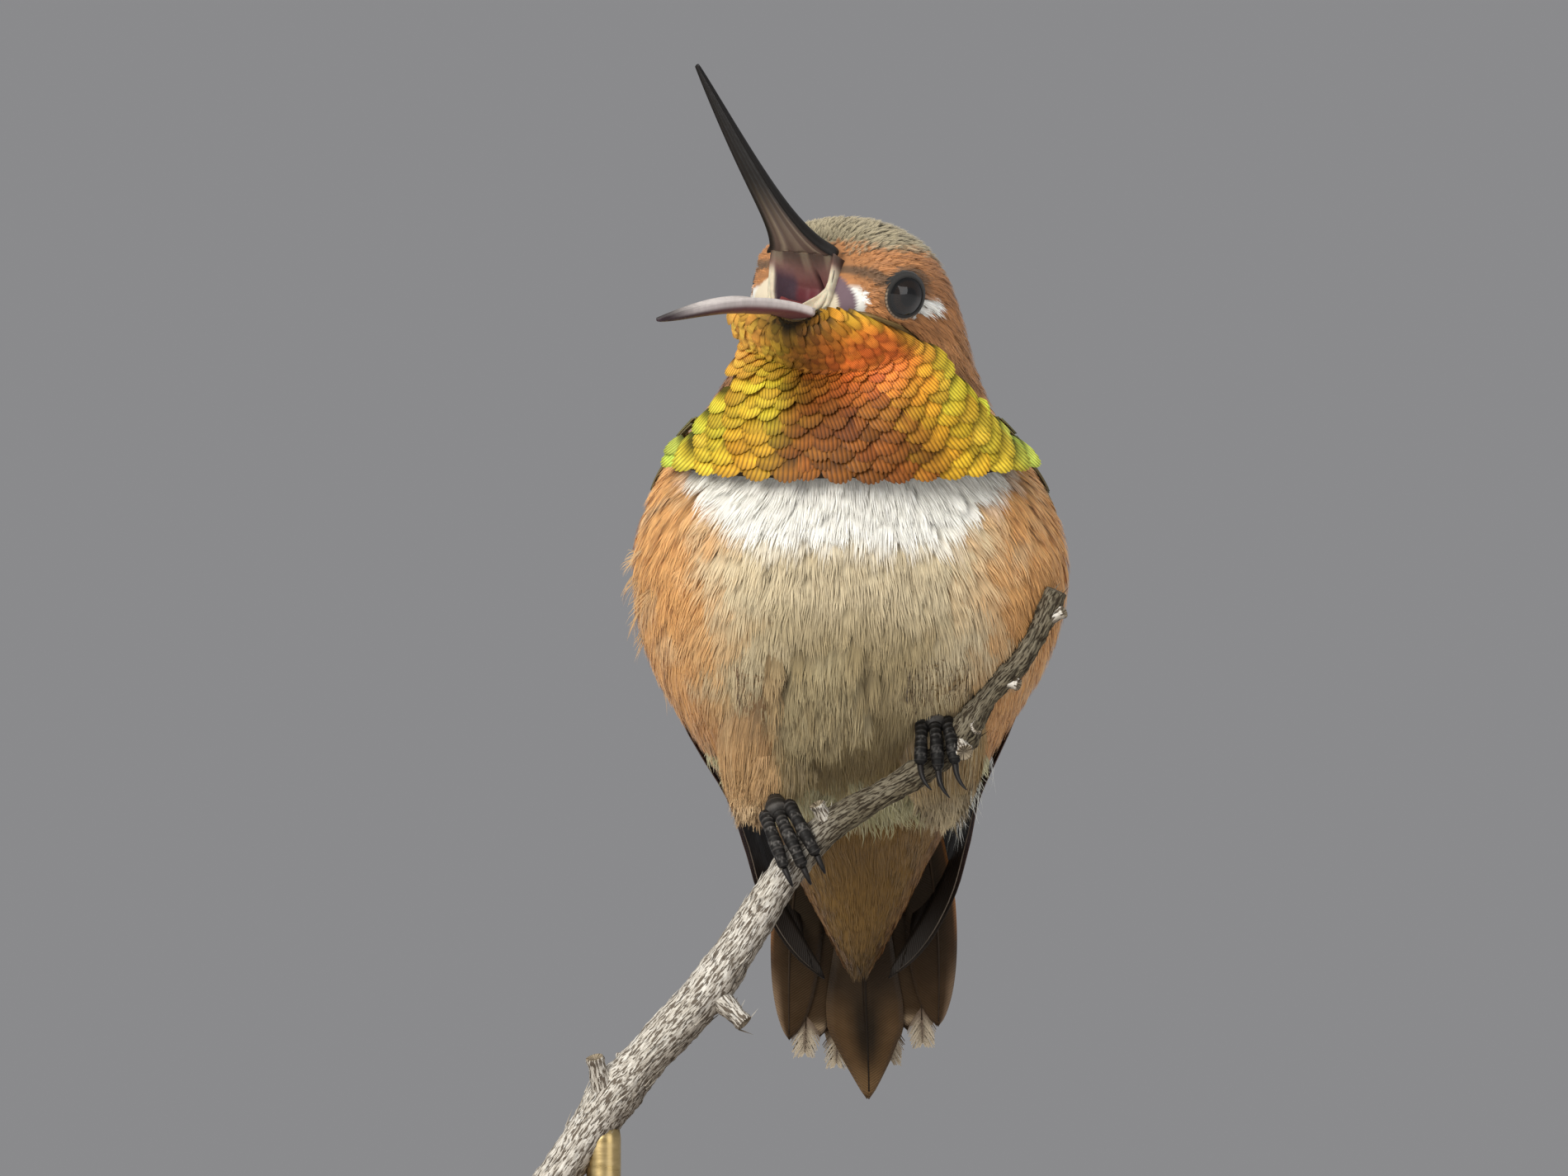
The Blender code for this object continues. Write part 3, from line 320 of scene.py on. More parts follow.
def markings(station, degrees):
    """Colour of the coat at a place on the body."""
    station, degrees = fields(station, degrees)
    degrees = degrees % 360.0
    off = abs(degrees - 180.0)                   # 0 at the breast's middle, 180 on the back
    uneven = ripple(station * 2.3, degrees * 0.11)
    fine = ripple(station * 9.0, degrees * 0.5, 2.0)

    belly = blend(OLIVE_BUFF, CREAM, smooth(3.6, 6.6, station + 0.3 * uneven))
    belly = blend(belly, BELLY_GOLD, 0.62 * smooth(34.0, 10.0, off + 8.0 * uneven) * smooth(3.6,
        4.6, station) * smooth(6.6, 5.7, station))
    flank = blend(CINNAMON, array(CINNAMON) * (0.72, 0.66, 0.6), smooth(5.2, 3.2, station
        + 0.3 * fine))
    flank = blend(flank, CREAM, 0.3 * smooth(0.2, 0.8, uneven))
    edge = 41.0 - 6.0 * smooth(6.6, 4.0, station) + 7.0 * uneven + 4.0 * fine
    # Painted shade: the breast and belly darken towards their middle.
    belly = belly * (1.0 - 0.16 * smooth(42.0, 10.0, off))[..., None]
    under = blend(belly, flank, smooth(edge - 14.0, edge + 16.0, off))
    low = interp(off, (0.0, 16.0, 31.0, 40.0, 58.0, 69.0, 80.0), (7.02, 6.95, 6.88, 7.08, 7.35,
        7.45, 7.6)) + 0.07 * fine + 0.05 * uneven
    side_edge = 66.0 + 14.0 * smooth(6.9, 7.6, station)
    band = smooth(low - 0.16, low + 0.16, station) * smooth(side_edge + 5.0, side_edge - 5.0, off
        + 2.0 * fine)
    under = blend(under, WHITE, band)
    dots = smooth(0.74, 0.92, ripple(station * 5.0 + 1.0, degrees * 0.33, 4.0))
    under = blend(under, SPECK, 0.75 * dots * smooth(32.0, 20.0, off) * smooth(4.1, 4.5, station)
        * smooth(5.9, 5.5, station))

    back = blend(RUFOUS, BRONZE, 0.45 * smooth(7.5, 9.0, station) * smooth(10.2, 9.2, station))
    body = blend(under, back, smooth(104.0, 124.0, off + 5.0 * fine))
    vent = smooth(3.82, 3.52, station + 0.1 * fine) * smooth(66.0, 40.0, off)
    body = blend(body, VENT, vent)
    tail_cover = blend(array(UNDERTAIL) * 0.34, UNDERTAIL, smooth(-0.3, 1.3, station))
    tail_cover = blend(tail_cover, (0.3, 0.13, 0.045), 0.6 * smooth(40.0, 72.0, off))
    body = blend(body, tail_cover, smooth(3.3, 2.95, station + 0.08 * fine))

    neck = blend(RUFOUS, FACE_RUFOUS, smooth(9.4, 11.0, station))
    crown_edge = interp(station, (10.5, 11.6, 12.7, 13.1, 13.5, 13.9), (55.0, 50.0, 56.0, 47.0,
        33.0, 10.0)) + 5.0 * fine
    streak = ripple(station * 1.6, degrees * 0.45, 5.0)
    neck = neck * (1.0 + 0.2 * streak + 0.1 * uneven)[..., None]
    head = blend(neck, CROWN, smooth(crown_edge + 6.0, crown_edge - 6.0, 180.0 - off))
    head = head * (1.0 + 0.1 * fine)[..., None]
    lore_middle = 91.0 + 14.0 * clip((station - 12.8) / 1.1, 0.0, 1.0)
    lore = smooth(10.0, 4.0, abs(off - lore_middle)) * smooth(12.2, 12.5, station)
    lid_shade = smooth(1.9, 1.1, ((station - 12.1) / 0.55)**2 + ((off - 88.0) / 17.0)**2)
    head = blend(head, LORE, 0.9 * maximum(lore, lid_shade))
    bare, ivory = gape_edges(off)
    front = smooth(bare - 0.34, bare - 0.28, station) * smooth(84.0, 76.0, off)
    front = front * where(degrees > 180.0, smooth(75.0, 68.0, off), 1.0)
    head = blend(head, WHITE, front * smooth(48.0, 54.0, off + 4.0 * fine))
    corner = where((degrees > 180.0)[..., None], array(GAPE_IVORY) * 1.15, GAPE_PURPLE)
    head = blend(head, corner, smooth(bare - 0.04, bare + 0.04, station) * smooth(100.0, 94.0,
        off))
    head = blend(head, GAPE_IVORY, smooth(ivory - 0.03, ivory + 0.05, station) * smooth(70.0, 62.0,
        off))
    patch = ((station - 11.2 + 0.02 * (off - 82.5)) / 0.3)**2 + ((off - 81.0) / 11.5)**2
    head = blend(head, WHITE, smooth(1.25, 0.85, patch))
    return blend(body, head, smooth(8.1, 8.8, station))


# ---------------------------------------------------------------- finishes

finishes = {}


class Value:
    """A socket that takes part in sums; every sum adds its own Math node."""

    def __init__(self, finish, socket):
        self.finish = finish
        self.socket = socket

    def _sum(self, operation, first, second):
        return self.finish.add("ShaderNodeMath", {"operation": operation}, {0: first, 1: second})

    def __add__(self, other):
        return self._sum("ADD", self, other)

    def __radd__(self, other):
        return self._sum("ADD", other, self)

    def __mul__(self, other):
        return self._sum("MULTIPLY", self, other)

    def __rmul__(self, other):
        return self._sum("MULTIPLY", other, self)


class Finish:
    """One material, built from nodes and sums."""

    def __init__(self, key, name, **constants):
        self.material = finishes[key] = bpy.data.materials.new(name)
        self.material.use_nodes = True
        self.tree = self.material.node_tree
        self.shader = self.tree.nodes["Principled BSDF"]
        for socket, value in constants.items():
            self.shader.inputs[socket.replace("_", " ")].default_value = value

    def add(self, kind, settings=None, sockets=None, output=0):
        node = self.tree.nodes.new(kind)
        for name, value in (settings or {}).items():
            if name == "stops":
                self._stops(node.color_ramp, value)
            else:
                setattr(node, name, value)
        for key, value in (sockets or {}).items():
            self._feed(node.inputs[key], value)
        return Value(self, node.outputs[output])

    def _stops(self, ramp, stops):
        while len(ramp.elements) > 1:
            ramp.elements.remove(ramp.elements[-1])
        ramp.elements[0].position = stops[0][0]
        ramp.elements[0].color = (*stops[0][1], 1.0)
        for place, colour in stops[1:]:
            ramp.elements.new(place).color = (*colour, 1.0)

    def _feed(self, socket, value):
        if isinstance(value, Value):
            self.tree.links.new(value.socket, socket)
        else:
            socket.default_value = value

    def set(self, name, value):
        self._feed(self.shader.inputs[name], value)

    def tint(self):
        return self.add("ShaderNodeAttribute", {"attribute_name": "tint"})

    def place(self, scale=(1.0, 1.0, 1.0), attribute=None):
        """Object coordinates, or a named coordinate of the mesh, stretched by scale."""
        if attribute:
            source = self.add("ShaderNodeAttribute", {"attribute_name": attribute}, output=1)
        else:
            source = self.add("ShaderNodeTexCoord", output=3)
        return self.add("ShaderNodeMapping", None, {"Vector": source, "Scale": scale})

    def noise(self, place, scale, detail=4.0, roughness=0.55):
        return self.add("ShaderNodeTexNoise", None, {"Vector": place, "Scale": scale,
            "Detail": detail, "Roughness": roughness})

    def wave(self, direction, place, scale, distortion, detail, fine=1.0):
        return self.add("ShaderNodeTexWave", {"bands_direction": direction}, {"Vector": place,
            "Scale": scale, "Distortion": distortion, "Detail": detail, "Detail Scale": fine})

    def ramp(self, value, *stops):
        return self.add("ShaderNodeValToRGB", {"stops": stops}, {"Fac": value})

    def level(self, value, low, high, out_low=0.0, out_high=1.0):
        return self.add("ShaderNodeMapRange", {"clamp": True}, {"Value": value, "From Min": low,
            "From Max": high, "To Min": out_low, "To Max": out_high})

    def mottle(self, value, share, base):
        """The piece's own tint, made uneven by share of a value over a base near 1."""
        self.set("Base Color", self.shade(self.tint(), value * share + base))

    def mix(self, factor, first, second, how="MIX"):
        return self.add("ShaderNodeMix", {"data_type": "RGBA", "blend_type": how},
            {0: factor, 6: first, 7: second}, output=2)

    def shade(self, colour, value):
        """Colour made darker or lighter by a value round 1."""
        return self.add("ShaderNodeVectorMath", {"operation": "SCALE"},
            {0: colour, "Scale": value})

    def bump(self, height, distance, strength=1.0):
        return self.add("ShaderNodeBump", None, {"Height": height, "Distance": distance,
            "Strength": strength})


def rgba(colour):
    return (*colour, 1.0)


def plumage_finish(key, name, roughness, grain, **constants):
    """Soft feather: its own tint, a little uneven, with the grain of its barbs."""
    finish = Finish(key, name, Roughness=roughness, **constants)
    finish.mottle(finish.noise(finish.place(), 900.0, 2.0), 0.3, 0.85)
    fibre = finish.noise(finish.place((1.0, 1.0, 0.25)), grain, 2.0)
    finish.set("Normal", finish.bump(fibre, 0.00004, 0.5))


def vane_finish():
    """A flight feather's web: fine barbs set slantwise to the shaft."""
    finish = Finish("flight", "flight_feather", Specular_IOR_Level=0.3)
    barbs = finish.wave("Y", finish.place((1.0, 1.0, 1.0), "grain"), 1700.0, 0.6, 1.0)
    patch = finish.noise(finish.place(), 1100.0, 3.0)
    tone = barbs * 0.3 + patch * 0.45 + 0.62
    finish.set("Base Color", finish.shade(finish.tint(), tone))
    finish.set("Roughness", finish.level(patch, 0.3, 0.7, 0.48, 0.64))
    finish.set("Normal", finish.bump(barbs, 0.00002, 0.5))


def make_finishes():
    plumage_finish("skin", "feather_down_skin", 0.8, 5000.0, Sheen_Weight=0.15)
    plumage_finish("plume", "soft_plumage", 0.62, 9000.0, Sheen_Weight=0.25, Sheen_Roughness=0.5)
    vane_finish()

    gorget = Finish("gorget", "gorget_scale", Metallic=0.15, Specular_IOR_Level=0.22)
    glint = gorget.noise(gorget.place(), 2600.0, 2.0)
    gorget.mottle(glint, 0.5, 0.75)
    gorget.set("Roughness", gorget.level(glint, 0.3, 0.7, 0.42, 0.58))

    horn = Finish("horn", "bill_horn", Specular_IOR_Level=0.3)
    streak = horn.noise(horn.place((1.0, 1.0, 0.35)), 2600.0, 4.0)
    horn.mottle(streak, 0.5, 0.75)
    horn.set("Roughness", horn.level(streak, 0.35, 0.65, 0.42, 0.6))
    horn.set("Normal", horn.bump(streak, 0.00003, 0.6))

    mouth = Finish("mouth", "mouth_skin", Roughness=0.62, Specular_IOR_Level=0.2, Coat_Weight=0.03,
        Coat_Roughness=0.35, Subsurface_Weight=0.15, Subsurface_Scale=0.0004)
    fold = mouth.noise(mouth.place(), 3200.0, 4.0)
    mouth.mottle(fold, 0.4, 0.8)
    mouth.set("Normal", mouth.bump(fold, 0.00005, 0.5))

    eye = Finish("eye", "eye_wet", Roughness=0.3, Specular_IOR_Level=0.1, Coat_Weight=1.0,
        Coat_Roughness=0.03, Coat_IOR=1.5)
    eye.mottle(eye.noise(eye.place(), 6000.0, 3.0), 0.8, 0.6)

    foot = Finish("foot", "foot_scutes", Specular_IOR_Level=0.22)
    pore = foot.noise(foot.place(), 7000.0, 3.0)
    foot.mottle(pore, 0.9, 0.55)
    foot.set("Roughness", foot.level(pore, 0.3, 0.7, 0.42, 0.66))
    foot.set("Normal", foot.bump(pore, 0.00004, 0.6))

    bark = Finish("bark", "weathered_bark", Roughness=0.88, Specular_IOR_Level=0.25)
    grain = bark.noise(bark.place((1.0, 1.0, 0.16), "grain"), 9000.0, 4.0, 0.6)
    fissure = bark.noise(bark.place((1.0, 1.0, 0.2), "grain"), 9500.0, 2.0, 0.5)
    blotch = bark.noise(bark.place(), 500.0, 4.0)
    crack = bark.level(fissure, 0.42, 0.49)
    colour = bark.ramp(grain, (0.3, (0.22, 0.185, 0.145)), (0.48, (0.56, 0.52, 0.455)),
        (0.66, (0.8, 0.77, 0.7)))
    colour = bark.mix(bark.level(blotch, 0.45, 0.75, 0.0, 0.35), colour, rgba((0.4, 0.36, 0.28)))
    colour = bark.mix(crack, rgba((0.135, 0.108, 0.082)), colour)
    colour = bark.mix(1.0, colour, bark.tint(), "MULTIPLY")
    bark.set("Base Color", colour)
    bark.set("Normal", bark.bump(grain * 0.4 + crack * 0.6, 0.00008, 0.9))

    wood = Finish("wood", "oiled_walnut", Coat_Weight=0.15, Coat_Roughness=0.3)
    warp = wood.noise(wood.place((1.0, 0.12, 1.0)), 130.0, 3.0)
    rings = wood.wave("X", wood.place((1.0, 0.05, 0.6)), 120.0, 5.0, 3.0, 1.5)
    pores = wood.noise(wood.place((1.0, 0.04, 1.0)), 1700.0, 3.0)
    tone = rings * 0.45 + warp * 0.55
    colour = wood.ramp(tone, (0.25, (0.055, 0.026, 0.013)), (0.55, (0.125, 0.062, 0.03)),
        (0.8, (0.2, 0.11, 0.055)))
    wood.set("Base Color", wood.mix(wood.level(pores, 0.33, 0.42), rgba((0.03, 0.015, 0.008)),
        colour))
    wood.set("Roughness", wood.level(pores, 0.3, 0.6, 0.55, 0.36))
    wood.set("Normal", wood.bump(pores, 0.00005, 0.5))

    brass = Finish("brass", "brushed_brass", Metallic=1.0)
    lines = brass.noise(brass.place((0.3, 0.3, 1.0)), 2600.0, 4.0)
    brass.set("Base Color", brass.mix(brass.level(lines, 0.3, 0.7), rgba((0.5, 0.36, 0.15)),
        rgba((0.68, 0.52, 0.26))))
    brass.set("Roughness", brass.level(lines, 0.3, 0.7, 0.24, 0.4))
    brass.set("Normal", brass.bump(lines, 0.00001, 0.4))

    floor = Finish("floor", "pale_floor", Roughness=0.9)
    speckle = floor.noise(floor.place(), 60.0, 3.0)
    floor.set("Base Color", floor.ramp(speckle, (0.3, (0.52, 0.52, 0.53)),
        (0.7, (0.55, 0.55, 0.56))))


make_finishes()


# ---------------------------------------------------------------- making meshes

def hold(mesh, tint=None, grain=None):
    """Keeps colours, and where a grain runs, at the points of a mesh."""
    if tint is not None:
        values = np.ones((len(mesh.vertices), 4), np.float32)
        values[:, :3] = clip(asarray(tint).reshape(-1, 3), 0.0, 1.0)
        layer = mesh.color_attributes.new("tint", "FLOAT_COLOR", "POINT")
        layer.data.foreach_set("color", values.ravel())
    if grain is not None:
        layer = mesh.attributes.new("grain", "FLOAT_VECTOR", "POINT")
        layer.data.foreach_set("vector", asarray(grain, np.float32).ravel())


def present(name, mesh, replaced=()):
    """A finished mesh as a piece of the model's one body."""
    piece = bpy.data.objects.new(name, mesh)
    bpy.context.scene.collection.objects.link(piece)
    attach(piece, "root")
    if replaced:
        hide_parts(*replaced)
    return piece


def add_piece(name, finish, points, faces, tint=None, bake=None, slot=None, replaced=(),
        grain=None):
    """A mesh object from points in millimetres, quads and values held at its points."""
    points = np.ascontiguousarray(points, float).reshape(-1, 3)
    corners = np.ascontiguousarray(faces, np.int32).ravel()
    mesh = bpy.data.meshes.new(name)
    mesh.vertices.add(len(points))
    mesh.vertices.foreach_set("co", (points * MM).astype(np.float32).ravel())
    mesh.loops.add(len(corners))
    mesh.loops.foreach_set("vertex_index", corners)
    mesh.polygons.add(len(corners) // 4)
    mesh.polygons.foreach_set("loop_start", arange(0, len(corners), 4))
    mesh.polygons.foreach_set("loop_total", full(len(corners) // 4, 4))
    mesh.update(calc_edges=True)
    hold(mesh, tint)
    if bake is not None:
        layer = mesh.uv_layers.new(name="OFBake")
        places = asarray(bake, np.float32).reshape(-1, 2)[corners]
        layer.data.foreach_set("uv", places.ravel())
    hold(mesh, grain=grain)
    mesh.materials.append(finishes[finish])
    mesh.shade_smooth()
    mesh.validate()
    return present(name, mesh, replaced)


def grid_faces(count, rows, columns, wrap=False):
    """Quads of count separate grids of rows by columns points, in the order of their points."""
    across = columns if wrap else columns - 1
    i, j = meshgrid(arange(rows - 1), arange(across), indexing="ij")
    first = i * columns + j
    right = i * columns + (j + 1) % columns
    quad = stack((first, right, right + columns, first + columns), axis=-1).reshape(-1, 4)
    return (quad[None] + (arange(count) * rows * columns)[:, None, None]).reshape(-1, 4)


def tube_rings(path, radii, sides, start_normal=(0.0, -1.0, 0.0)):
    """Rings round a path: points (rows, sides, 3) and the outward direction at each."""
    path = asarray(path, float)
    ahead = unit(gradient(path, axis=0))
    side = unit(cross(ahead, asarray(start_normal)))
    up = cross(side, ahead)
    angle = circle(sides)[None, :, None]
    outward = up[:, None] * cos(angle) + side[:, None] * sin(angle)
    return path[:, None] + outward * asarray(radii)[:, None, None], outward


def closed_tube(rings):
    """Points and faces of a tube with both ends drawn together."""
    first, last = (broadcast_to(rings[end].mean(axis=0), rings[:1].shape) for end in (0, -1))
    points = concatenate((first, rings, last))
    return points, grid_faces(1, len(points), rings.shape[1], wrap=True)


def join(parts):
    """Several sets of points, faces, tints and sometimes grains as one."""
    sets = [[] for _ in parts[0]]
    count = 0
    for points, faces, tint, *grain in parts:
        flat = [broadcast_to(values, points.shape).reshape(-1, 3) for values in (points,
            tint, *grain)]
        for kept, values in zip(sets, (flat[0], faces + count, *flat[1:])):
            kept.append(values)
        count += len(flat[0])
    return [concatenate(kept) for kept in sets]


# ---------------------------------------------------------------- skin, eyes and mouth

def eye_frame(way):
    """Middle of an eyeball and its outward direction; way is 1 for the bird's left."""
    surface = body_points(EYE_STATION, way * 96.0)
    line, forward, _, dorsal, _ = EYE_LINE
    middle = surface + unit(line - surface) * (EYE_INSET + (0.55 if way < 0 else 0.0))
    normal = body_normals(array(EYE_STATION), array(way * 96.0))
    return middle, unit(normal + 0.08 * forward - 0.12 * dorsal)


EYES = {"left": eye_frame(1.0), "right": eye_frame(-1.0)}


def round_eye(points, middle, outward):
    """Height over an eye's middle, the way across from its axis and how far that is."""
    from_eye = points - middle
    height = (from_eye @ outward)[..., None]
    across = from_eye - height * outward
    return height, across, norm(across, axis=-1, keepdims=True)


def thigh_ray(points, directions, side, shrink):
    """How far out along rays a thigh's surface lies; 0 where a ray misses it."""
    centre, sizes, lean = THIGHS[side]
    tilt = math.radians(lean)
    axes = array(((math.cos(tilt), 0.0, math.sin(tilt)), (0.0, 1.0, 0.0), (-math.sin(tilt), 0.0,
        math.cos(tilt))))
    scale = array(sizes) - shrink
    start = ((points - array(centre)) @ axes.T) / scale
    heading = (directions @ axes.T) / scale
    a = (heading**2).sum(-1)
    b = (start * heading).sum(-1)
    c = (start**2).sum(-1) - 1.0
    root = b * b - a * c
    return where(root > 0.0, (-b + np.sqrt(maximum(root, 0.0))) / a, 0.0)


def make_skin():
    """The bare body under the coat, as one closed skin with lids round the eyes."""
    sides = 112
    stations = concatenate((linspace(0.0, 9.0, 90, endpoint=False), linspace(9.0, FACE_END, 80)))
    degrees = linspace(0.0, 360.0, sides, endpoint=False)
    s, d = meshgrid(stations, degrees, indexing="ij")
    points = body_points(s, d, -coat_depth(s))
    centre = body_frame(s)[0]
    out = unit(points - centre)
    reach = norm(points - centre, axis=-1)
    for side in THIGHS:
        bulge = thigh_ray(centre, out, side, 0.9)
        reach = maximum(reach, where((s > 2.6) & (s < 6.2), bulge, 0.0))
    points = centre + out * reach[..., None]
    wrinkle = 0.03 * ripple(s * 6.0, d * 0.22, 1.0) + 0.015 * ripple(s * 17.0, d * 0.6, 3.0)
    points = points + out * wrinkle[..., None]
    for middle, outward in EYES.values():
        height, _, radius = round_eye(points, middle, outward)
        sink = where(height > 0.0, smooth(1.46, 1.3, radius), 0.0)
        points = points - outward * (height + 0.2) * sink
        height = ((points - middle) @ outward)[..., None]
        over = maximum(height - 0.8 - 0.62 * smooth(1.3, 2.5, radius), 0.0)
        points = points - outward * over * (radius < 2.6)
    off = abs(d - 180.0)
    bare_skin = smooth(-0.1, 0.05, s - gape_edges(off)[0]) * smooth(98.0, 92.0, off)
    # Painted shade: the skin takes the coat's colour, darkened where it lies under the coat, less
    # so on the head and not where it is bare.
    tints = markings(s, d) * (0.6 + 0.2 * smooth(9.0, 10.0, s) + 0.2 * bare_skin)[..., None]
    middle = points[-1].mean(axis=0)
    inner = stack([middle + (points[-1] - middle) * size - FACE[1] * back for size,
        back in ((0.93, -0.05), (0.84, 0.05), (0.76, 0.5), (0.5, 1.4))])
    lining = broadcast_to(array((0.2, 0.035, 0.035)), (4, sides, 3))
    rings = concatenate((points, inner))
    colours = concatenate((tints, lining))
    rows = rings.shape[0]
    places = bake_place(s, d)
    places = concatenate((places, broadcast_to(places[-1:], (4, sides, 2)), places[-1:],
        places[:1]))
    rings = concatenate((rings, repeat(rings[-1].mean(axis=0)[None, None], sides, axis=1),
        repeat(rings[0].mean(axis=0)[None, None], sides, axis=1)))
    colours = concatenate((colours, colours[-1:], colours[:1]))
    faces = grid_faces(1, rows + 1, sides, wrap=True)
    close = grid_faces(1, 2, sides, wrap=True)
    tail_cap = where(close < sides, close + (rows + 1) * sides, close - sides)
    parts = [(rings, concatenate((faces, tail_cap)), colours)]
    bakes = [places.reshape(-1, 2)]
    for (middle, outward), beak_turn, place in zip(EYES.values(), (215.0, 145.0), (96.0, 264.0)):
        parts.append(lid(middle, outward, beak_turn))
        across = (parts[-1][0] - middle) @ stack((EYE_LINE[1], EYE_LINE[3])).T
        centre = bake_place(EYE_STATION, place)
        bakes.append((centre + across * (0.025, 0.012)).reshape(-1, 2))
    return add_piece("body_skin", "skin", *join(parts), concatenate(bakes), "belly_feathers",
        ("head", "neck", "breast", "belly", "rump", "tail_coverts", "thigh_left", "thigh_right"))


def around_axis(middle, axis, angles, turns, radii):
    """Points on a ball about middle: angle from the axis, turn round it, radius."""
    side = unit(cross((0.0, 0.0, 1.0), axis))
    rise = cross(axis, side)
    a = radians(angles)[..., None]
    b = radians(turns)[..., None]
    return middle + radii[..., None] * (axis * cos(a) * EYE_FLATNESS + sin(a) * (side * sin(b)
        + rise * cos(b)))


def lid(middle, outward, beak_turn):
    """A ring of eyelid: a thick dark margin with a row of pale beads below and in front."""
    profile = EYE_OPENING + array((-0.6, 0.0, 1.4, 4.0, 7.0, 9.0, 10.4, 11.8, 13.6, 17.0, 23.0,
        33.0))
    heights = array((1.69, 1.735, 1.76, 1.765, 1.765, 1.765, 1.775, 1.78, 1.765, 1.73, 1.68, 1.6))
    turns = linspace(0.0, 360.0, 104, endpoint=False)
    angle, turn = meshgrid(profile, turns, indexing="ij")
    radius = repeat(heights[:, None], len(turns), axis=1)
    row = smooth(5.6, 7.6, angle - EYE_OPENING) * smooth(11.6, 9.6, angle - EYE_OPENING)
    beads = cos(radians(turn * 34.0))
    arc = smooth(82.0, 58.0, abs((turn - beak_turn + 180.0) % 360.0 - 180.0))
    radius = radius + 0.03 * beads * row * arc
    points = around_axis(middle, outward, angle, turn, radius)
    tints = blend((0.01, 0.009, 0.008), (0.46, 0.34, 0.23), row * arc * (0.6 + 0.4 * beads))
    return points, grid_faces(1, len(profile), len(turns), wrap=True)[:, ::-1], tints


def make_eye(side):
    middle, outward = EYES[side]
    angles = concatenate((linspace(0.6, 46.0, 28), linspace(50.0, 179.4, 18)))
    turns = linspace(0.0, 360.0, 64, endpoint=False)
    angle, turn = meshgrid(angles, turns, indexing="ij")
    radius = EYE_RADIUS + 0.04 * smooth(34.0, 10.0, angle) - 0.02
    points = around_axis(middle, outward, angle, turn, radius)
    iris = smooth(17.0, 21.0, angle) * smooth(37.0, 31.0, angle)
    streaks = 0.7 + 0.3 * cos(radians(turn * 31.0) + 2.0 * sin(radians(angle * 9.0)))
    tints = blend((0.002, 0.002, 0.0022), (0.014, 0.008, 0.005), iris * streaks)
    points, faces = closed_tube(points)
    return add_piece("eyeball_" + side, "eye", points, faces[:, ::-1], capped(tints), slot="eye",
        replaced=("eye_" + side,))


def gape_opening(v):
    """Left and right edges of the hollow inside the gape, as shares of its half width."""
    return (interp(v, (0.0, 0.5, 1.0), (-0.74, -0.78, -0.86)), interp(v, (0.0, 0.06, 0.22, 0.36,
        0.5, 1.0), (0.02, 0.22, 0.62, 0.84, 0.9, 0.93)))


def gape_tints(u, v):
    """Colour inside the mouth; u runs to the bird's left, v from the throat up to the palate."""
    palate = blend((0.11, 0.07, 0.054), (0.24, 0.18, 0.125), smooth(0.1, 0.9, cos(u * 8.2 + 0.4)))
    rose = blend((0.15, 0.034, 0.044), (0.19, 0.092, 0.082), smooth(0.35, 0.7, v))
    colour = blend(rose, palate, smooth(0.62, 0.98, v))
    colour = blend(colour, (0.07, 0.042, 0.058), smooth(-0.36, -0.5, u) * smooth(0.8, 0.5, v))
    colour = blend(colour, (0.04, 0.01, 0.015), smooth(0.34, 0.1, v) * smooth(-0.7, -0.5, u))
    # Painted shade: the slit that the lining's shape sinks into the floor of the mouth is painted
    # near black.
    slit = exp(-((u - 0.22 + 0.25 * (v - 0.5)) / 0.055)**2) * smooth(0.8, 0.66, v)
    colour = blend(colour, (0.022, 0.004, 0.007), slit * smooth(0.34, 0.46, v))
    left_edge, right_edge = gape_opening(v)
    ivory = smooth(right_edge - 0.03, right_edge + 0.05, u) * (1.0 - smooth(0.62, 0.86, v))
    colour = blend(colour, GAPE_IVORY, ivory)
    pale = smooth(left_edge + 0.03, left_edge - 0.06, u) * smooth(0.8, 0.55, v)
    colour = blend(colour, GAPE_IVORY, pale)
    # Painted shade: darker towards the palate at the top, to meet the shaded base of the bill.
    return colour * (1.0 - 0.3 * smooth(0.72, 0.95, v))[..., None]


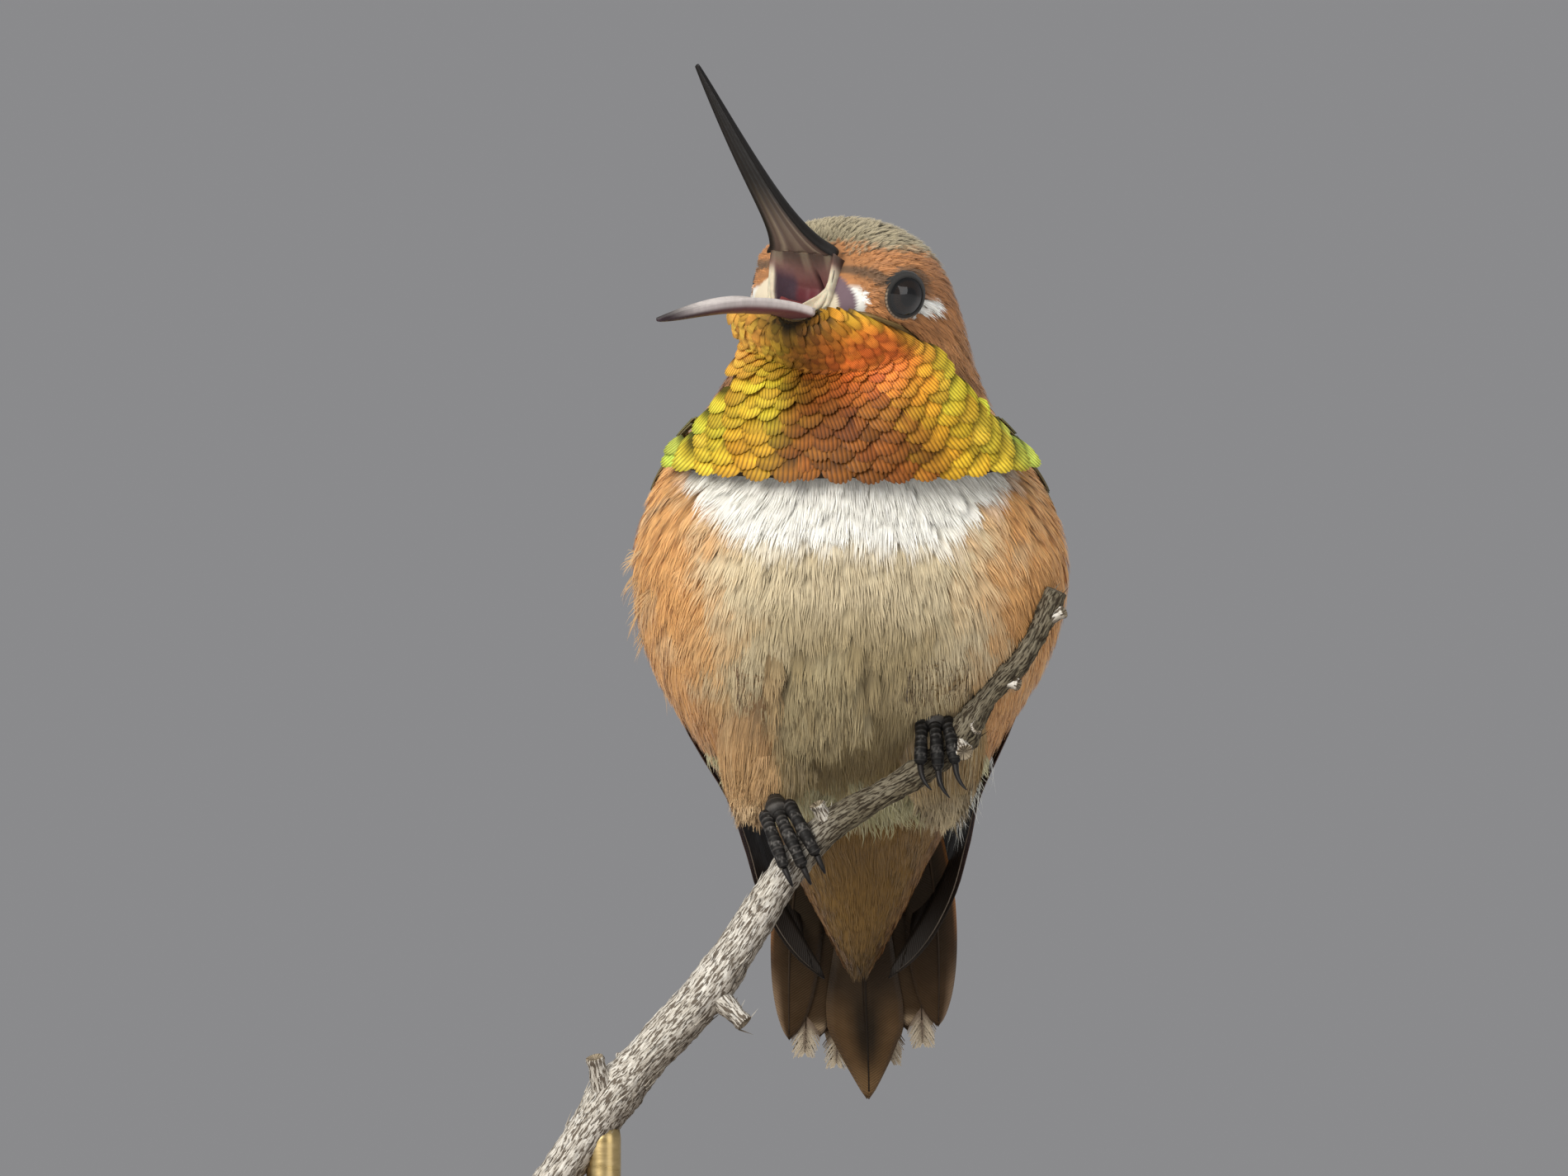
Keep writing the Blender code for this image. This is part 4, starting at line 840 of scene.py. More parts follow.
def make_mouth():
    """The open gape: the palate runs back into a folded throat between two soft corners."""
    centre, forward, left, dorsal, _ = FACE
    front = centre + forward * GAP
    u, v = meshgrid(linspace(-1.0, 1.0, 81), linspace(0.0, 1.0, 52), indexing="xy")
    half = interp(v, (0.0, 0.08, 0.25, 0.7, 1.0), (1.75, 2.08, 2.26, 2.34, 2.34))
    left_edge, right_edge = gape_opening(v)
    within = 2.0 * (u - left_edge) / (right_edge - left_edge) - 1.0
    wall = clip(abs(within), 0.0, 1.0)**2.4
    depth = interp(v, (0.0, 0.15, 0.5, 0.85, 1.0), (0.8, 1.5, 1.6, 0.55, 0.12))
    slit = exp(-((u - 0.22 + 0.25 * (v - 0.5)) / 0.06)**2) * smooth(0.82, 0.66, v)
    slit = slit * smooth(0.3, 0.45, v)
    folds = 0.05 * cos(u * 15.0) * (1.0 - wall)
    rim = 0.1 + 0.72 * v
    lip = 0.13 * exp(-((within - 1.12) / 0.14)**2) + 0.1 * exp(-((within + 1.1) / 0.12)**2)
    outer = smooth(1.15, 1.9, abs(within))
    reach = rim - depth * (1.0 - wall) - 0.35 * slit + folds + lip - 0.1 * outer
    a = u * half
    b = -2.02 + 3.1 * v
    inside = (front + forward * reach[..., None] + left * a[..., None] + dorsal * b[..., None])
    outside = (front + forward * (minimum(reach, 0.0) * 0.6 - 0.55)[..., None] + left * (a * 0.98)[
        ..., None] + dorsal * (b * 0.97)[..., None])
    points, faces = closed_tube(concatenate((inside, outside[:, ::-1]), axis=1))
    tints = gape_tints(u, v)
    parts = [(points, faces, capped(concatenate((tints, tints[:, ::-1] * 0.6), axis=1)))]
    for way in (1.0, -1.0):
        # The corner of the gape runs from under the upper half down to the lower one.
        share = linspace(0.18, 1.0, 30)
        x = way * (2.32 - 0.1 * share - (1.0 if way > 0.0 else 0.4) * share**3)
        y = 0.75 - 2.95 * share
        out = 0.62 - 0.55 * share
        path = front + forward * out[:, None] + left * x[:, None] + dorsal * y[:, None]
        swell = share**1.5 * smooth(1.0, 0.9, share)
        rings, _ = tube_rings(path, 0.03 + (0.24 if way > 0.0 else 0.1) * swell, 16)
        points, faces = closed_tube(rings)
        tone = blend((0.1, 0.065, 0.055), GAPE_IVORY, smooth(0.3, 0.5, share))
        parts.append((points, faces, capped(tone)[:, None]))
    return add_piece("gape_lining", "mouth", *join(parts), slot="mouth", replaced=("mouth_lining",
        ))


def make_mandible(name, node, tip, rise, side, half_width, height, arch, tints, slimness, flare,
        fullness, aside, base_depth):
    """One half of the bill, with its cutting edges, hollow inside and a drawn-out tip."""
    centre, forward, left, dorsal, _ = FACE
    base = centre + forward * GAP + dorsal * rise
    tip = array(tip)
    along = unit(tip - base)
    outward = unit(cross(along, left)) * side
    start = base + along * BILL_START - left * aside
    steps = concatenate((linspace(0.0, 0.35, 22, endpoint=False), linspace(0.35, 1.0, 40)))
    turns = linspace(0.0, pi, 27)
    outer = len(turns)
    x = concatenate((cos(turns), -cos(linspace(0.0, pi, 22))[1:-1]))
    rings = []
    colours = []
    for step in steps:
        narrow = (1.0 - step)**0.85
        slim = slimness * narrow + (1.0 - slimness) * (1.0 - step)**flare
        width = BILL_TIP + (half_width - BILL_TIP) * slim
        tall = BILL_TIP + (height - BILL_TIP) * (1.0 - step**fullness)**0.8
        tall = tall * (base_depth + (1.0 - base_depth) * float(smooth(0.0, 0.3, step)))
        hollow = 0.1 + 0.22 * narrow
        inside = x[outer:]
        grooves = 0.055 * narrow * cos(inside * 7.0 * pi / 1.6) * (1.0 - inside**4)
        y = concatenate((tall * sin(turns)**0.9, -hollow * (1.0 - 0.75 * np.sqrt(maximum(1.0
            - inside**2, 0.0))) + grooves))
        y[:outer] += 0.05 * narrow * exp(-(x[:outer] / 0.16)**2)
        width = width + (0.16 * math.exp(-((step - 0.012) / 0.018)**2) if side > 0.0 else 0.0)
        middle = start + (tip - start) * step + outward * arch * -math.sin(pi * step**0.8)
        rings.append(middle + left * (x * width)[:, None] + outward * y[:, None])
        colours.append(tints(step, x, y / tall, outer))
    points, faces = closed_tube(stack(rings))
    if side < 0.0:
        faces = faces[:, ::-1]
    return add_piece(name, "horn", points, faces, capped(stack(colours)), slot="horn",
        replaced=(node,))


def upper_tints(step, x, y, outer):
    slate = blend((0.012, 0.01, 0.009), (0.008, 0.007, 0.007), smooth(0.5, 1.0, step)
        + zeros(len(x)))
    palate = blend((0.15, 0.1, 0.078), (0.38, 0.3, 0.215), smooth(0.2, 0.9,
        cos(x * 7.0 * pi / 1.6)))
    palate = blend(palate, (0.014, 0.012, 0.011), smooth(0.03, 0.44, step) + 0.0 * x)
    palate = blend(palate, slate, smooth(0.74, 0.88, abs(x)))
    return where(arange(len(x))[:, None] < outer, slate, palate)


def lower_tints(step, x, y, outer):
    maroon = blend((0.15, 0.052, 0.058), (0.04, 0.022, 0.028), smooth(0.3, 0.85, step)
        + zeros(len(x)))
    # The cutting edges are pale: partly their own colour, partly a painted highlight where light
    # falls on them from above.
    edge = blend(maroon, (0.62, 0.55, 0.53), smooth(0.62, 0.16, y) * smooth(0.95, 0.7, step))
    inside = blend((0.66, 0.6, 0.57), (0.06, 0.05, 0.05), smooth(0.55, 0.95, step) + zeros(len(x)))
    return where(arange(len(x))[:, None] < outer, edge, inside)


# ---------------------------------------------------------------- feathers over the body

def march(station, degrees, length, lean, steps):
    """Lines over the body from roots towards the tail: stations and degrees at each step."""
    s = np.empty((len(station), steps + 1))
    d = np.empty_like(s)
    s[:, 0] = station
    d[:, 0] = degrees
    for k in range(steps):
        along, around = body_gradients(s[:, k], d[:, k])
        pace = length / steps
        slope = maximum(norm(along, axis=-1), 0.5)
        s[:, k + 1] = maximum(s[:, k] - pace * cos(lean) / slope, 0.1 - TAIL_REACH)
        d[:, k + 1] = d[:, k] + pace * sin(lean) / norm(around, axis=-1)
    return s, d


def scatter(start, end, closeness, jitter=0.3):
    """Staggered rows of roots over the body; closeness scales the feathers' spacing."""
    stations = []
    turns = []
    station = start
    row = 0
    angles = linspace(0.0, 360.0, 121)
    while station < end:
        along, around = body_gradients(full(121, station), angles)
        arc = norm(around, axis=-1) * 3.0
        arc = concatenate(([0.0], np.cumsum(0.5 * (arc[1:] + arc[:-1]))))
        gap = size_at(station, 3) * closeness
        pace = norm(along, axis=-1)
        count = max(3, int(arc[-1] / gap))
        at = (arange(count) + 0.25 + 0.5 * (row % 2)) / count * arc[-1]
        at = at + rng.uniform(-jitter, jitter, count) * gap
        local = interp(at, arc, pace)
        stations.append(station + rng.uniform(-jitter, jitter, count) * gap / local)
        turns.append(interp(at, arc, angles))
        station += gap * 0.87 / float(pace.mean())
        row += 1
    return concatenate(stations), concatenate(turns)


def clear_of_eyes(points):
    """Moves what would cover an eye to the edge of its lids, and lays it down round them."""
    ahead_below = unit(EYE_LINE[1] * 0.7 - EYE_LINE[3])
    for middle, outward in EYES.values():
        height, across, radius = round_eye(points, middle, outward)
        radius = maximum(radius, 1e-6)
        edge = 1.25 + 0.15 * smooth(0.1, 0.7, (across / radius) @ ahead_below)[..., None]
        short = where((height > 0.0) & (radius < edge), edge - radius, 0.0)
        points = points + across / radius * short
        radius = radius + short
        over = maximum(height - 0.93 - 0.6 * smooth(1.25, 2.4, radius), 0.0)
        points = points - outward * over * (radius < 2.5)
    return points


def at_share(values, share):
    """Values (count, steps + 1, ...) read at shares (count, strands, steps + 1) of the way."""
    steps = values.shape[1] - 1
    place = clip(share, 0.0, 1.0) * steps
    i = minimum(place.astype(int), steps - 1)
    rest = (place - i)[..., None]
    rows = arange(len(values))[:, None, None]
    return values[rows, i] * (1.0 - rest) + values[rows, i + 1] * rest


def barbed(line, normal, width, strands, thin, low, high, tints, place, root_shade=0.72,
        crown=0.12, ragged=0.15, tip_out=0.06, fringe=None, steps=4, wave=0.04, variety=0.13):
    """Feathers as fans of barbs laid along lines.

    line and normal are (count, n, 3); width, low and high are single or (count,); tints are
    (count, 3).  Returns points, faces, tints and OFBake places.
    """
    count = len(line)
    width, low, high, _ = (value[:, None, None] for value in fields(width, low, high,
        zeros(count)))
    a = linspace(-1.0, 1.0, strands)[None] * np.ones((count, 1))
    a = clip(a + rng.uniform(-0.5, 0.5, a.shape) / strands, -1.05, 1.05)
    t = linspace(0.0, 1.0, steps + 1)
    reach = (1.0 - 0.35 * a**2) * (1.0 - ragged * rng.random(a.shape))
    share = reach[..., None] * t
    ahead = unit(gradient(line, axis=1))
    side = unit(cross(normal, ahead))
    middle = at_share(line, share)
    out = unit(at_share(normal, share))
    across = unit(at_share(side, share))
    spread = 0.22 + 0.78 * sin(minimum(share * 1.15, 1.0) * pi / 2.0)
    spread = spread * (1.0 - 0.22 * share**4)
    phase = rng.uniform(0.0, 6.28, a.shape)[..., None]
    offset = a[..., None] * (width / 2.0) * spread
    offset = offset + wave * sin(share * 5.0 + phase) * share
    lift = low + (high - low) * sin(share * pi / 2.0)
    lift = lift + tip_out * rng.uniform(-0.2, 1.0, a.shape)[..., None] * share**3
    lift = lift - crown * (a[..., None]**2) * spread
    path = middle + across * offset[..., None] + out * lift[..., None]
    twist = rng.uniform(-0.4, 0.4, a.shape)[..., None] + a[..., None] * 0.35
    ribbon = across * cos(twist)[..., None] + out * sin(twist)[..., None]
    ribbon = ribbon * (thin / 2.0 * (1.0 - 0.92 * t**2.6))[:, None]
    points = stack((path - ribbon, path + ribbon), axis=3)
    points = points.reshape(count * strands, steps + 1, 2, 3)
    faces = grid_faces(count * strands, steps + 1, 2)
    vary = 1.0 + variety * rng.uniform(-1.0, 1.0, a.shape)
    # The barbs darken towards their roots: partly the feathers' own darker bases, partly painted
    # shade under the coat.
    shade = root_shade + (1.0 - root_shade) * smooth(0.0, 0.6, share)
    colour = tints[:, None, None] * (vary[..., None] * shade)[..., None]
    if fringe is not None:
        edge = maximum(abs(a)[..., None], share / reach[..., None] * 1.02)
        colour = blend(colour, fringe, smooth(0.62, 1.0, edge))
    bake = place[:, None, None] + patch(a[..., None], share)
    return points, faces, *(repeat(values[:, :, :, None], 2, axis=3) for values in (colour, bake))


def patch(a, share):
    """A feather's own small patch of the OFBake map, a across it and share along it."""
    return stack((a * PATCH / 2.0 + 0.0 * share, (share - 0.5) * PATCH), axis=-1)


def bake_place(station, degrees):
    """The place of a feather's root on the OFBake map, laid out by station and turn."""
    station, degrees = fields(station, degrees)
    return stack(((station + 1.0) / 16.0, (degrees % 360.0) / 360.0), axis=-1)


SIZES = array((          # station, length, width, spacing of the feathers
    (-0.5, 1.4, 0.9, 0.7), (0.5, 2.2, 1.2, 0.8), (2.5, 3.4, 1.7, 0.95), (4.0, 3.6, 1.9, 1.0),
    (6.0, 3.4, 1.8, 0.95), (8.0, 2.5, 1.4, 0.8), (9.0, 2.0, 1.05, 0.66),
    (10.5, 1.6, 0.8, 0.52), (12.0, 1.25, 0.62, 0.44), (13.0, 0.9, 0.48, 0.36),
    (14.0, 0.55, 0.36, 0.3)))


def size_at(station, column):
    return interp(station, SIZES[:, 0], SIZES[:, column])


def gorget_edges(share):
    lower = 8.1 - 0.66 * share**1.6
    upper = interp(share, (0.0, 0.5, 0.6, 0.66, 0.71, 0.73, 0.76, 0.81, 0.88, 1.0), (13.97, 13.97,
        13.6, 13.2, 12.7, 11.4, 10.3, 9.4, 8.8, 7.9))
    return lower, upper


def under_gorget(station, degrees, margin=0.5):
    share = abs((degrees % 360.0) - 180.0) / GORGET_HALF_ANGLE
    lower, upper = gorget_edges(minimum(share, 1.0))
    return (share < 0.95) & (station > lower + margin) & (station < upper - margin)


def under_wing(station, degrees):
    turn = abs((degrees + 180.0) % 360.0 - 180.0)
    rows = WING[::-1]
    lead, trail = (interp(station, rows[:, 0], rows[:, column]) for column in (1, 3))
    return (turn < lead - WING_MARGIN) & (turn > trail + WING_MARGIN) & (station > 2.2) & (station
        < 7.2)


def near_eye(station, degrees):
    points = body_points(station, degrees)
    close = zeros(len(station), bool)
    for middle, outward in EYES.values():
        height, _, radius = round_eye(points, middle, outward)
        close |= ((radius < 1.3) & (height > 0.0))[:, 0]
    return close


def coat_piece(name, station, degrees, slot, strands, thin, lean=0.0, grow=1.0, raise_tips=0.0,
        **looks):
    """Contour feathers with their roots at places on the body."""
    length = size_at(station, 1) * grow * rng.uniform(0.85, 1.15, len(station))
    width = size_at(station, 2) * rng.uniform(0.9, 1.1, len(station))
    lean = lean + rng.uniform(-0.16, 0.16, len(station))
    s, d = march(station, degrees, length, lean, 5)
    depth = coat_depth(station)
    points, faces, colour, bake = barbed(body_points(s, d), body_normals(s, d), width, strands,
        thin, -0.95 * depth, -0.1 * depth + raise_tips, markings(s[:, 3], d[:, 3]),
        bake_place(station, degrees), **looks)
    return add_piece(name, "plume", clear_of_eyes(points), faces, colour, bake, slot)


def make_body_coat():
    s, d = scatter(3.1, 9.3, 0.88)
    off = abs(d - 180.0)
    keep = ~under_gorget(s, d) & ~under_wing(s, d) & ~((off > 84.0) & (off < 100.0) & (s < 4.5))
    s, d, off = s[keep], d[keep], off[keep]
    front = off < 50.0
    rear = off >= 112.0
    sides = ~front & ~rear
    outward = np.sign(d - 180.0) * 0.3 * smooth(8.0, 60.0, off)
    soft = {"ragged": 0.34, "wave": 0.05, "crown": 0.07}
    coat_piece("breast_and_belly_feathers", s[front], d[front], "belly_feathers", 23, 0.105,
        outward[front], raise_tips=0.02, tip_out=0.1, **soft)
    coat_piece("flank_feathers", s[sides], d[sides], "rufous_feathers", 21, 0.105, tip_out=0.12,
        **soft)
    coat_piece("back_feathers", s[rear], d[rear], "rufous_feathers", 17, 0.13, tip_out=0.05,
        fringe=(0.3, 0.17, 0.07))


def make_head_coat():
    s, d = scatter(9.0, 14.0, 0.84, 0.42)
    off = abs(d - 180.0)
    keep = ~under_gorget(s, d, 0.2) & ~near_eye(s, d)
    keep &= ~((off < 96.0) & (s > gape_edges(off)[0] + 0.02))
    s, d = s[keep], d[keep]
    crown = abs((d + 180.0) % 360.0 - 180.0) < 54.0
    lean = rng.uniform(-0.35, 0.35, len(s))
    coat_piece("crown_feathers", s[crown], d[crown], "rufous_feathers", 13, 0.085, lean[crown],
        1.15, 0.03, steps=3, fringe=(0.46, 0.39, 0.25), tip_out=0.17, crown=0.08, wave=0.02,
        root_shade=0.42, variety=0.25)
    coat_piece("face_feathers", s[~crown], d[~crown], "rufous_feathers", 13, 0.06,
        0.5 * lean[~crown], 1.15, steps=3, tip_out=0.07, crown=0.03, wave=0.05, ragged=0.42,
        variety=0.24, root_shade=0.84)


def make_undertail():
    s, d = scatter(0.42, 3.2, 0.9, 0.2)
    coat_piece("undertail_covert_feathers", s, d, "undertail_feathers", 21, 0.12, tip_out=0.04,
        ragged=0.2, wave=0.03, crown=0.05, root_shade=0.85)


# ---------------------------------------------------------------- gorget

def gorget_tint(points, offset):
    """Colour of the throat's gloss at places, by how the light plays over it."""
    x = points[..., 0]
    z = points[..., 2]
    side = abs(offset)
    colour = blend(BRONZE_ORANGE, GOLD, smooth(0.26, 0.52, side + 0.03 * sin(x * 2.3 + z)))
    colour = blend(colour, LEMON, smooth(0.5, 0.78, side + 0.04 * sin(x * 1.7 - z)))
    colour = blend(colour, LIME, smooth(0.74, 0.98, side + 0.05 * sin(x * 3.1 + z * 2.0)))
    colour = blend(colour, LEMON, 0.8 * exp(-((x + 1.2) / 1.4)**2 - ((z - 58.4) / 3.0)**2))
    ember = exp(-((x - 5.3) / 2.4)**2 - ((z - 60.2) / 1.8)**2)
    colour = blend(colour, EMBER, clip(1.5 * ember, 0.0, 1.0))
    flame = exp(-((x + 3.0) / 1.7)**2 - ((z - 61.8) / 1.9)**2)
    colour = blend(colour, FLAME, clip(1.7 * flame, 0.0, 1.0))
    shade = exp(-((x - 0.3) / 2.2)**2 - ((z - 62.5) / 1.2)**2)
    return blend(colour, THROAT_SHADE, clip(1.1 * shade, 0.0, 0.85))


def make_gorget():
    """Rows of stiff glossy scales from the lower edge up to the chin."""
    roots = []
    rise = 0.0
    row = 0
    share = linspace(-1.0, 1.0, 241)
    lower, upper = gorget_edges(abs(share))
    while lower[120] + rise < GORGET_CHIN:
        grow = float(interp(rise, (0.0, 1.6, 3.2, 4.8), (1.0, 0.68, 0.38, 0.24)))
        width = 2.25 * grow
        station = minimum(lower + rise, FACE_END)
        line = body_points(station, 180.0 + share * GORGET_HALF_ANGLE, 1.0)
        arc = run_of(line)
        gap = width * 0.78
        at = arange((0.25 + 0.5 * (row % 2)) * gap, arc[-1], gap)
        at = at + rng.uniform(-0.1, 0.1, len(at)) * gap
        along, _ = body_gradients(full(1, lower[120] + rise), 180.0)
        exposed = 0.45 * width / norm(along)
        beyond = at + np.sign(at - arc[-1] / 2.0) * 0.36 * width
        inside = interp(at, arc, station) + exposed < interp(beyond, arc, upper) + 0.05
        drop = 0.66 * (0.3 + 0.7 * grow)
        pace = max(float(along[0, 2]), 0.75)
        for place in at[inside]:
            roots.append((interp(place, arc, station), interp(place, arc, share), width,
                drop / pace))
        rise += drop / pace
        row += 1
    roots = array(roots)
    count = len(roots)
    roots[:, 0] = minimum(roots[:, 0] + rng.uniform(-0.12, 0.12, count) * roots[:, 3], 13.95)
    width = roots[:, 2] * rng.uniform(0.94, 1.08, count)
    degrees = 180.0 + roots[:, 1] * GORGET_HALF_ANGLE
    along, _ = body_gradients(roots[:, 0], degrees)
    pace = norm(along, axis=-1)
    length = maximum(width * 1.1, 2.5 * roots[:, 3] * pace)
    # The root lies above the row's line, so that the tip comes down to it.
    border = gorget_edges(minimum(abs(roots[:, 1]) + 0.036 * width, 1.0))[1]
    start = minimum(roots[:, 0] + 0.92 * length / pace, FACE_END)
    start = minimum(start, maximum(border + 0.05, roots[:, 0] + 0.45 * width / pace))
    length = (start - roots[:, 0]) * pace + 0.08 * length
    s, d = march(start, degrees, length, rng.uniform(-0.1, 0.1, count), 6)
    line = body_points(s, d)
    normal = body_normals(s, d)
    side = unit(cross(normal, unit(gradient(line, axis=1))))
    columns = 25
    rows = 6
    a = linspace(-1.0, 1.0, columns)[:, None]
    drop = minimum(0.36 * width / length, 0.6)[:, None, None]
    tip = 1.0 - drop * abs(a)**2.3
    ribbed = arange(columns)[:, None] % 3 == 1
    tip = tip - 0.07 * ribbed * rng.uniform(0.3, 1.0, tip.shape)
    share = linspace(0.0, 1.0, rows) * tip
    fan = sin(minimum(0.35 + share, 1.0) * pi / 2.0)**0.7
    lower, upper = gorget_edges(abs(roots[:, 1]))
    height = clip((roots[:, 0] - lower) / (upper - lower), 0.0, 1.0)
    flare = 0.55 * (1.0 - 0.8 * abs(roots[:, 1])**3) * (1.0 - height)**2.2
    outer = 0.16 + 0.7 * (0.6 + 0.4 * smooth(13.9, 12.4, roots[:, 0])) + flare
    outer = outer + 0.5 * smooth(0.25, 0.6, roots[:, 1]) * smooth(10.0, 12.0, roots[:, 0])
    outer = (outer + rng.uniform(-0.06, 0.12, count))[:, None, None]
    width = width[:, None, None]
    rib = where(ribbed, -1.0, 0.5)
    lift = outer * (0.56 + 0.44 * share) - 0.055 * width * a**2 * fan + 0.024 * rib * share**0.5
    lift = lift + rng.uniform(-0.05, 0.05, count)[:, None, None] * a * share
    points = (at_share(line, share) + unit(at_share(side, share)) * (a * fan * width / 2.0)[...,
        None] + unit(at_share(normal, share)) * lift[..., None])
    colour = gorget_tint(points, roots[:, 1][:, None, None])
    vary = rng.uniform(0.66, 1.2, count)[:, None, None]
    hue = rng.uniform(-1.0, 1.0, count)[:, None, None]
    # Painted shade: each scale darkens in the grooves between its barbs, over its root where the
    # row above covers it, and at its rim as a shadow line; vary is its own tone.
    edge = smooth(0.93, 1.0, share / tip) + 0.5 * smooth(0.9, 1.0, abs(a))
    covered = clip(roots[:, 3] * pace / length, 0.1, 0.9)[:, None, None]
    bare = smooth(0.72 - covered * 1.25, 1.06 - covered, share / tip)
    shade = vary * (0.98 + 0.5 * rib) * (0.12 + 0.88 * bare) * (1.0 - 0.45 * minimum(edge, 1.0))
    colour = colour * shade[..., None]
    colour[..., 1] *= 1.0 + 0.14 * hue
    bake = bake_place(roots[:, 0], degrees)[:, None, None] + patch(a, share)
    parts = [(points, grid_faces(count, columns, rows), colour)]

    # A dusky pad under the scales, so that nothing shows between them; its dark tone is partly the
    # scales' dusky bases and partly painted shade between them.
    u, v = meshgrid(linspace(-1.0, 1.0, 73), linspace(0.0, 1.0, 33), indexing="ij")
    low, high = gorget_edges(abs(u))
    station = low + 0.1 + (high - low - 0.26) * v
    turn = 180.0 + u * GORGET_HALF_ANGLE
    thick = 0.34 + 0.34 * (1.0 - 0.8 * abs(u)**3) * (1.0 - v)**2.2
    top, bottom = (body_points(station, turn, lift) for lift in (thick, -0.1))
    pad, faces = closed_tube(concatenate((top, bottom[:, ::-1]), axis=1))
    tone = blend((0.05, 0.032, 0.016), (0.2, 0.125, 0.045), smooth(0.72, 0.95, v))
    parts.append((pad, faces, wrapped(tone)))
    bakes = [bake.reshape(-1, 2), wrapped(bake_place(station, turn)).reshape(-1, 2)]
    return add_piece("throat_gorget_scales", "gorget", *join(parts), concatenate(bakes),
        "gorget_feathers", ("throat_gorget",))


# ---------------------------------------------------------------- thighs and loose fluff

def on_the_belly(x, z):
    """Places on the front of the body at these distances aside and above the floor."""
    s, d = meshgrid(arange(3.6, 7.0, 0.05), arange(90.0, 270.0, 1.5), indexing="ij")
    body = body_points(s, d).reshape(-1, 3)
    gap = (body[None, :, 0] - x[:, None])**2 + (body[None, :, 2] - z[:, None])**2
    return body[np.argmin(gap, axis=1)]


def make_thigh(side):
    """The tuft over a thigh: feathers flow down on it from the belly and hang in soft points."""
    centre, sizes, lean = THIGHS[side]
    centre = array(centre)
    tilt = math.radians(lean)
    size = array(sizes) - 0.75
    warm = side == "right"

    def surface(polar, turn):
        """Points of the thigh and their outward directions; turn 270 faces forward."""
        polar, turn = np.broadcast_arrays(radians(polar), radians(turn))
        local = stack((sin(polar) * cos(turn), sin(polar) * sin(turn), cos(polar)), axis=-1)
        taper = 1.0 - 0.3 * maximum(-local[..., 2:], 0.0) * (1.0, 1.0, 0.0)
        both = []
        for v in (local * taper * size, unit(local / size)):
            both.append(stack((v[..., 0] * math.cos(tilt) - v[..., 2] * math.sin(tilt), v[..., 1],
                v[..., 0] * math.sin(tilt) + v[..., 2] * math.cos(tilt)), axis=-1))
        return centre + both[0], both[1]

    count = 240
    polar = np.degrees(np.arccos(rng.uniform(-0.85, 0.35, count)))
    turn = rng.uniform(0.0, 360.0, count)
    length = rng.uniform(1.9, 3.4, count)
    steps = linspace(0.0, 1.0, 6)
    run = minimum(polar[:, None] + np.degrees(length / sizes[2])[:, None] * steps * 0.9, 172.0)
    line, normal = surface(run, turn[:, None])

    # Long feathers rooted on the belly above pass down over the thigh.
    number = 150
    over_turn = rng.uniform(165.0, 375.0, number)
    above, _ = surface(full(number, 55.0), over_turn)
    above = above + (0.0, 0.0, 1.0) * rng.uniform(1.6, 3.6, number)[:, None]
    root = on_the_belly(above[:, 0], above[:, 2]) + (0.0, 0.3, 0.0)
    bend, bend_out = surface(rng.uniform(62.0, 84.0, number), over_turn)
    end, _ = surface(rng.uniform(104.0, 150.0, number), over_turn + rng.uniform(-8.0, 8.0, number))
    drape = arch(root, bend + bend_out * 0.55, end, steps[None, :, None])
    drape_out = unit(unit(drape - centre) + array((0.0, -0.6, 0.0)))

    # Loose barbs let go of the underside and hang in points.
    hanging = 110
    around = rng.uniform(150.0, 390.0, hanging)
    low_point, low_out = surface(rng.uniform(122.0, 158.0, hanging), around)
    drop = rng.uniform(0.8, 1.7, hanging)
    fall = array((0.0, 0.0, -1.0)) * drop[:, None] + low_out * (0.05, 0.05, 0.0)
    hung = low_point[:, None] + fall[:, None] * steps[None, :, None]
    hung_out = repeat(unit(low_out * (1.0, 1.0, 0.2))[:, None], 6, axis=1)

    line = concatenate((line, drape, hung))
    normal = concatenate((normal, drape_out, hung_out))
    total = len(line)
    tuft = arange(total) < count + number
    tip = line[:, -1]
    dark, pale = (((0.46, 0.255, 0.095), (0.6, 0.38, 0.17)) if warm else ((0.27, 0.15, 0.042),
        (0.42, 0.275, 0.095)))
    tints = blend(dark, pale, rng.random(total))
    if warm:
        tints = blend(tints, (0.3, 0.215, 0.09), smooth(-1.4, 0.6, tip[:, 0]))
    tints = blend(tints, (0.66, 0.62, 0.46), (0.25 if warm else 0.42) * smooth(centre[2] - 1.6,
        centre[2] - 3.6, tip[:, 2]))
    degrees = 180.0 + (-35.0 if warm else 35.0) + rng.uniform(-14.0, 14.0, total)
    points, faces, colour, bake = barbed(line, normal, where(tuft, 1.5, 0.6), 15, 0.085, -0.15,
        where(tuft, 0.42, 0.05), tints, bake_place(3.9, degrees), ragged=0.42, tip_out=0.2,
        wave=0.12, crown=0.05)
    return add_piece("thigh_feathers_" + side, "plume", points, faces, colour, bake,
        "belly_feathers")


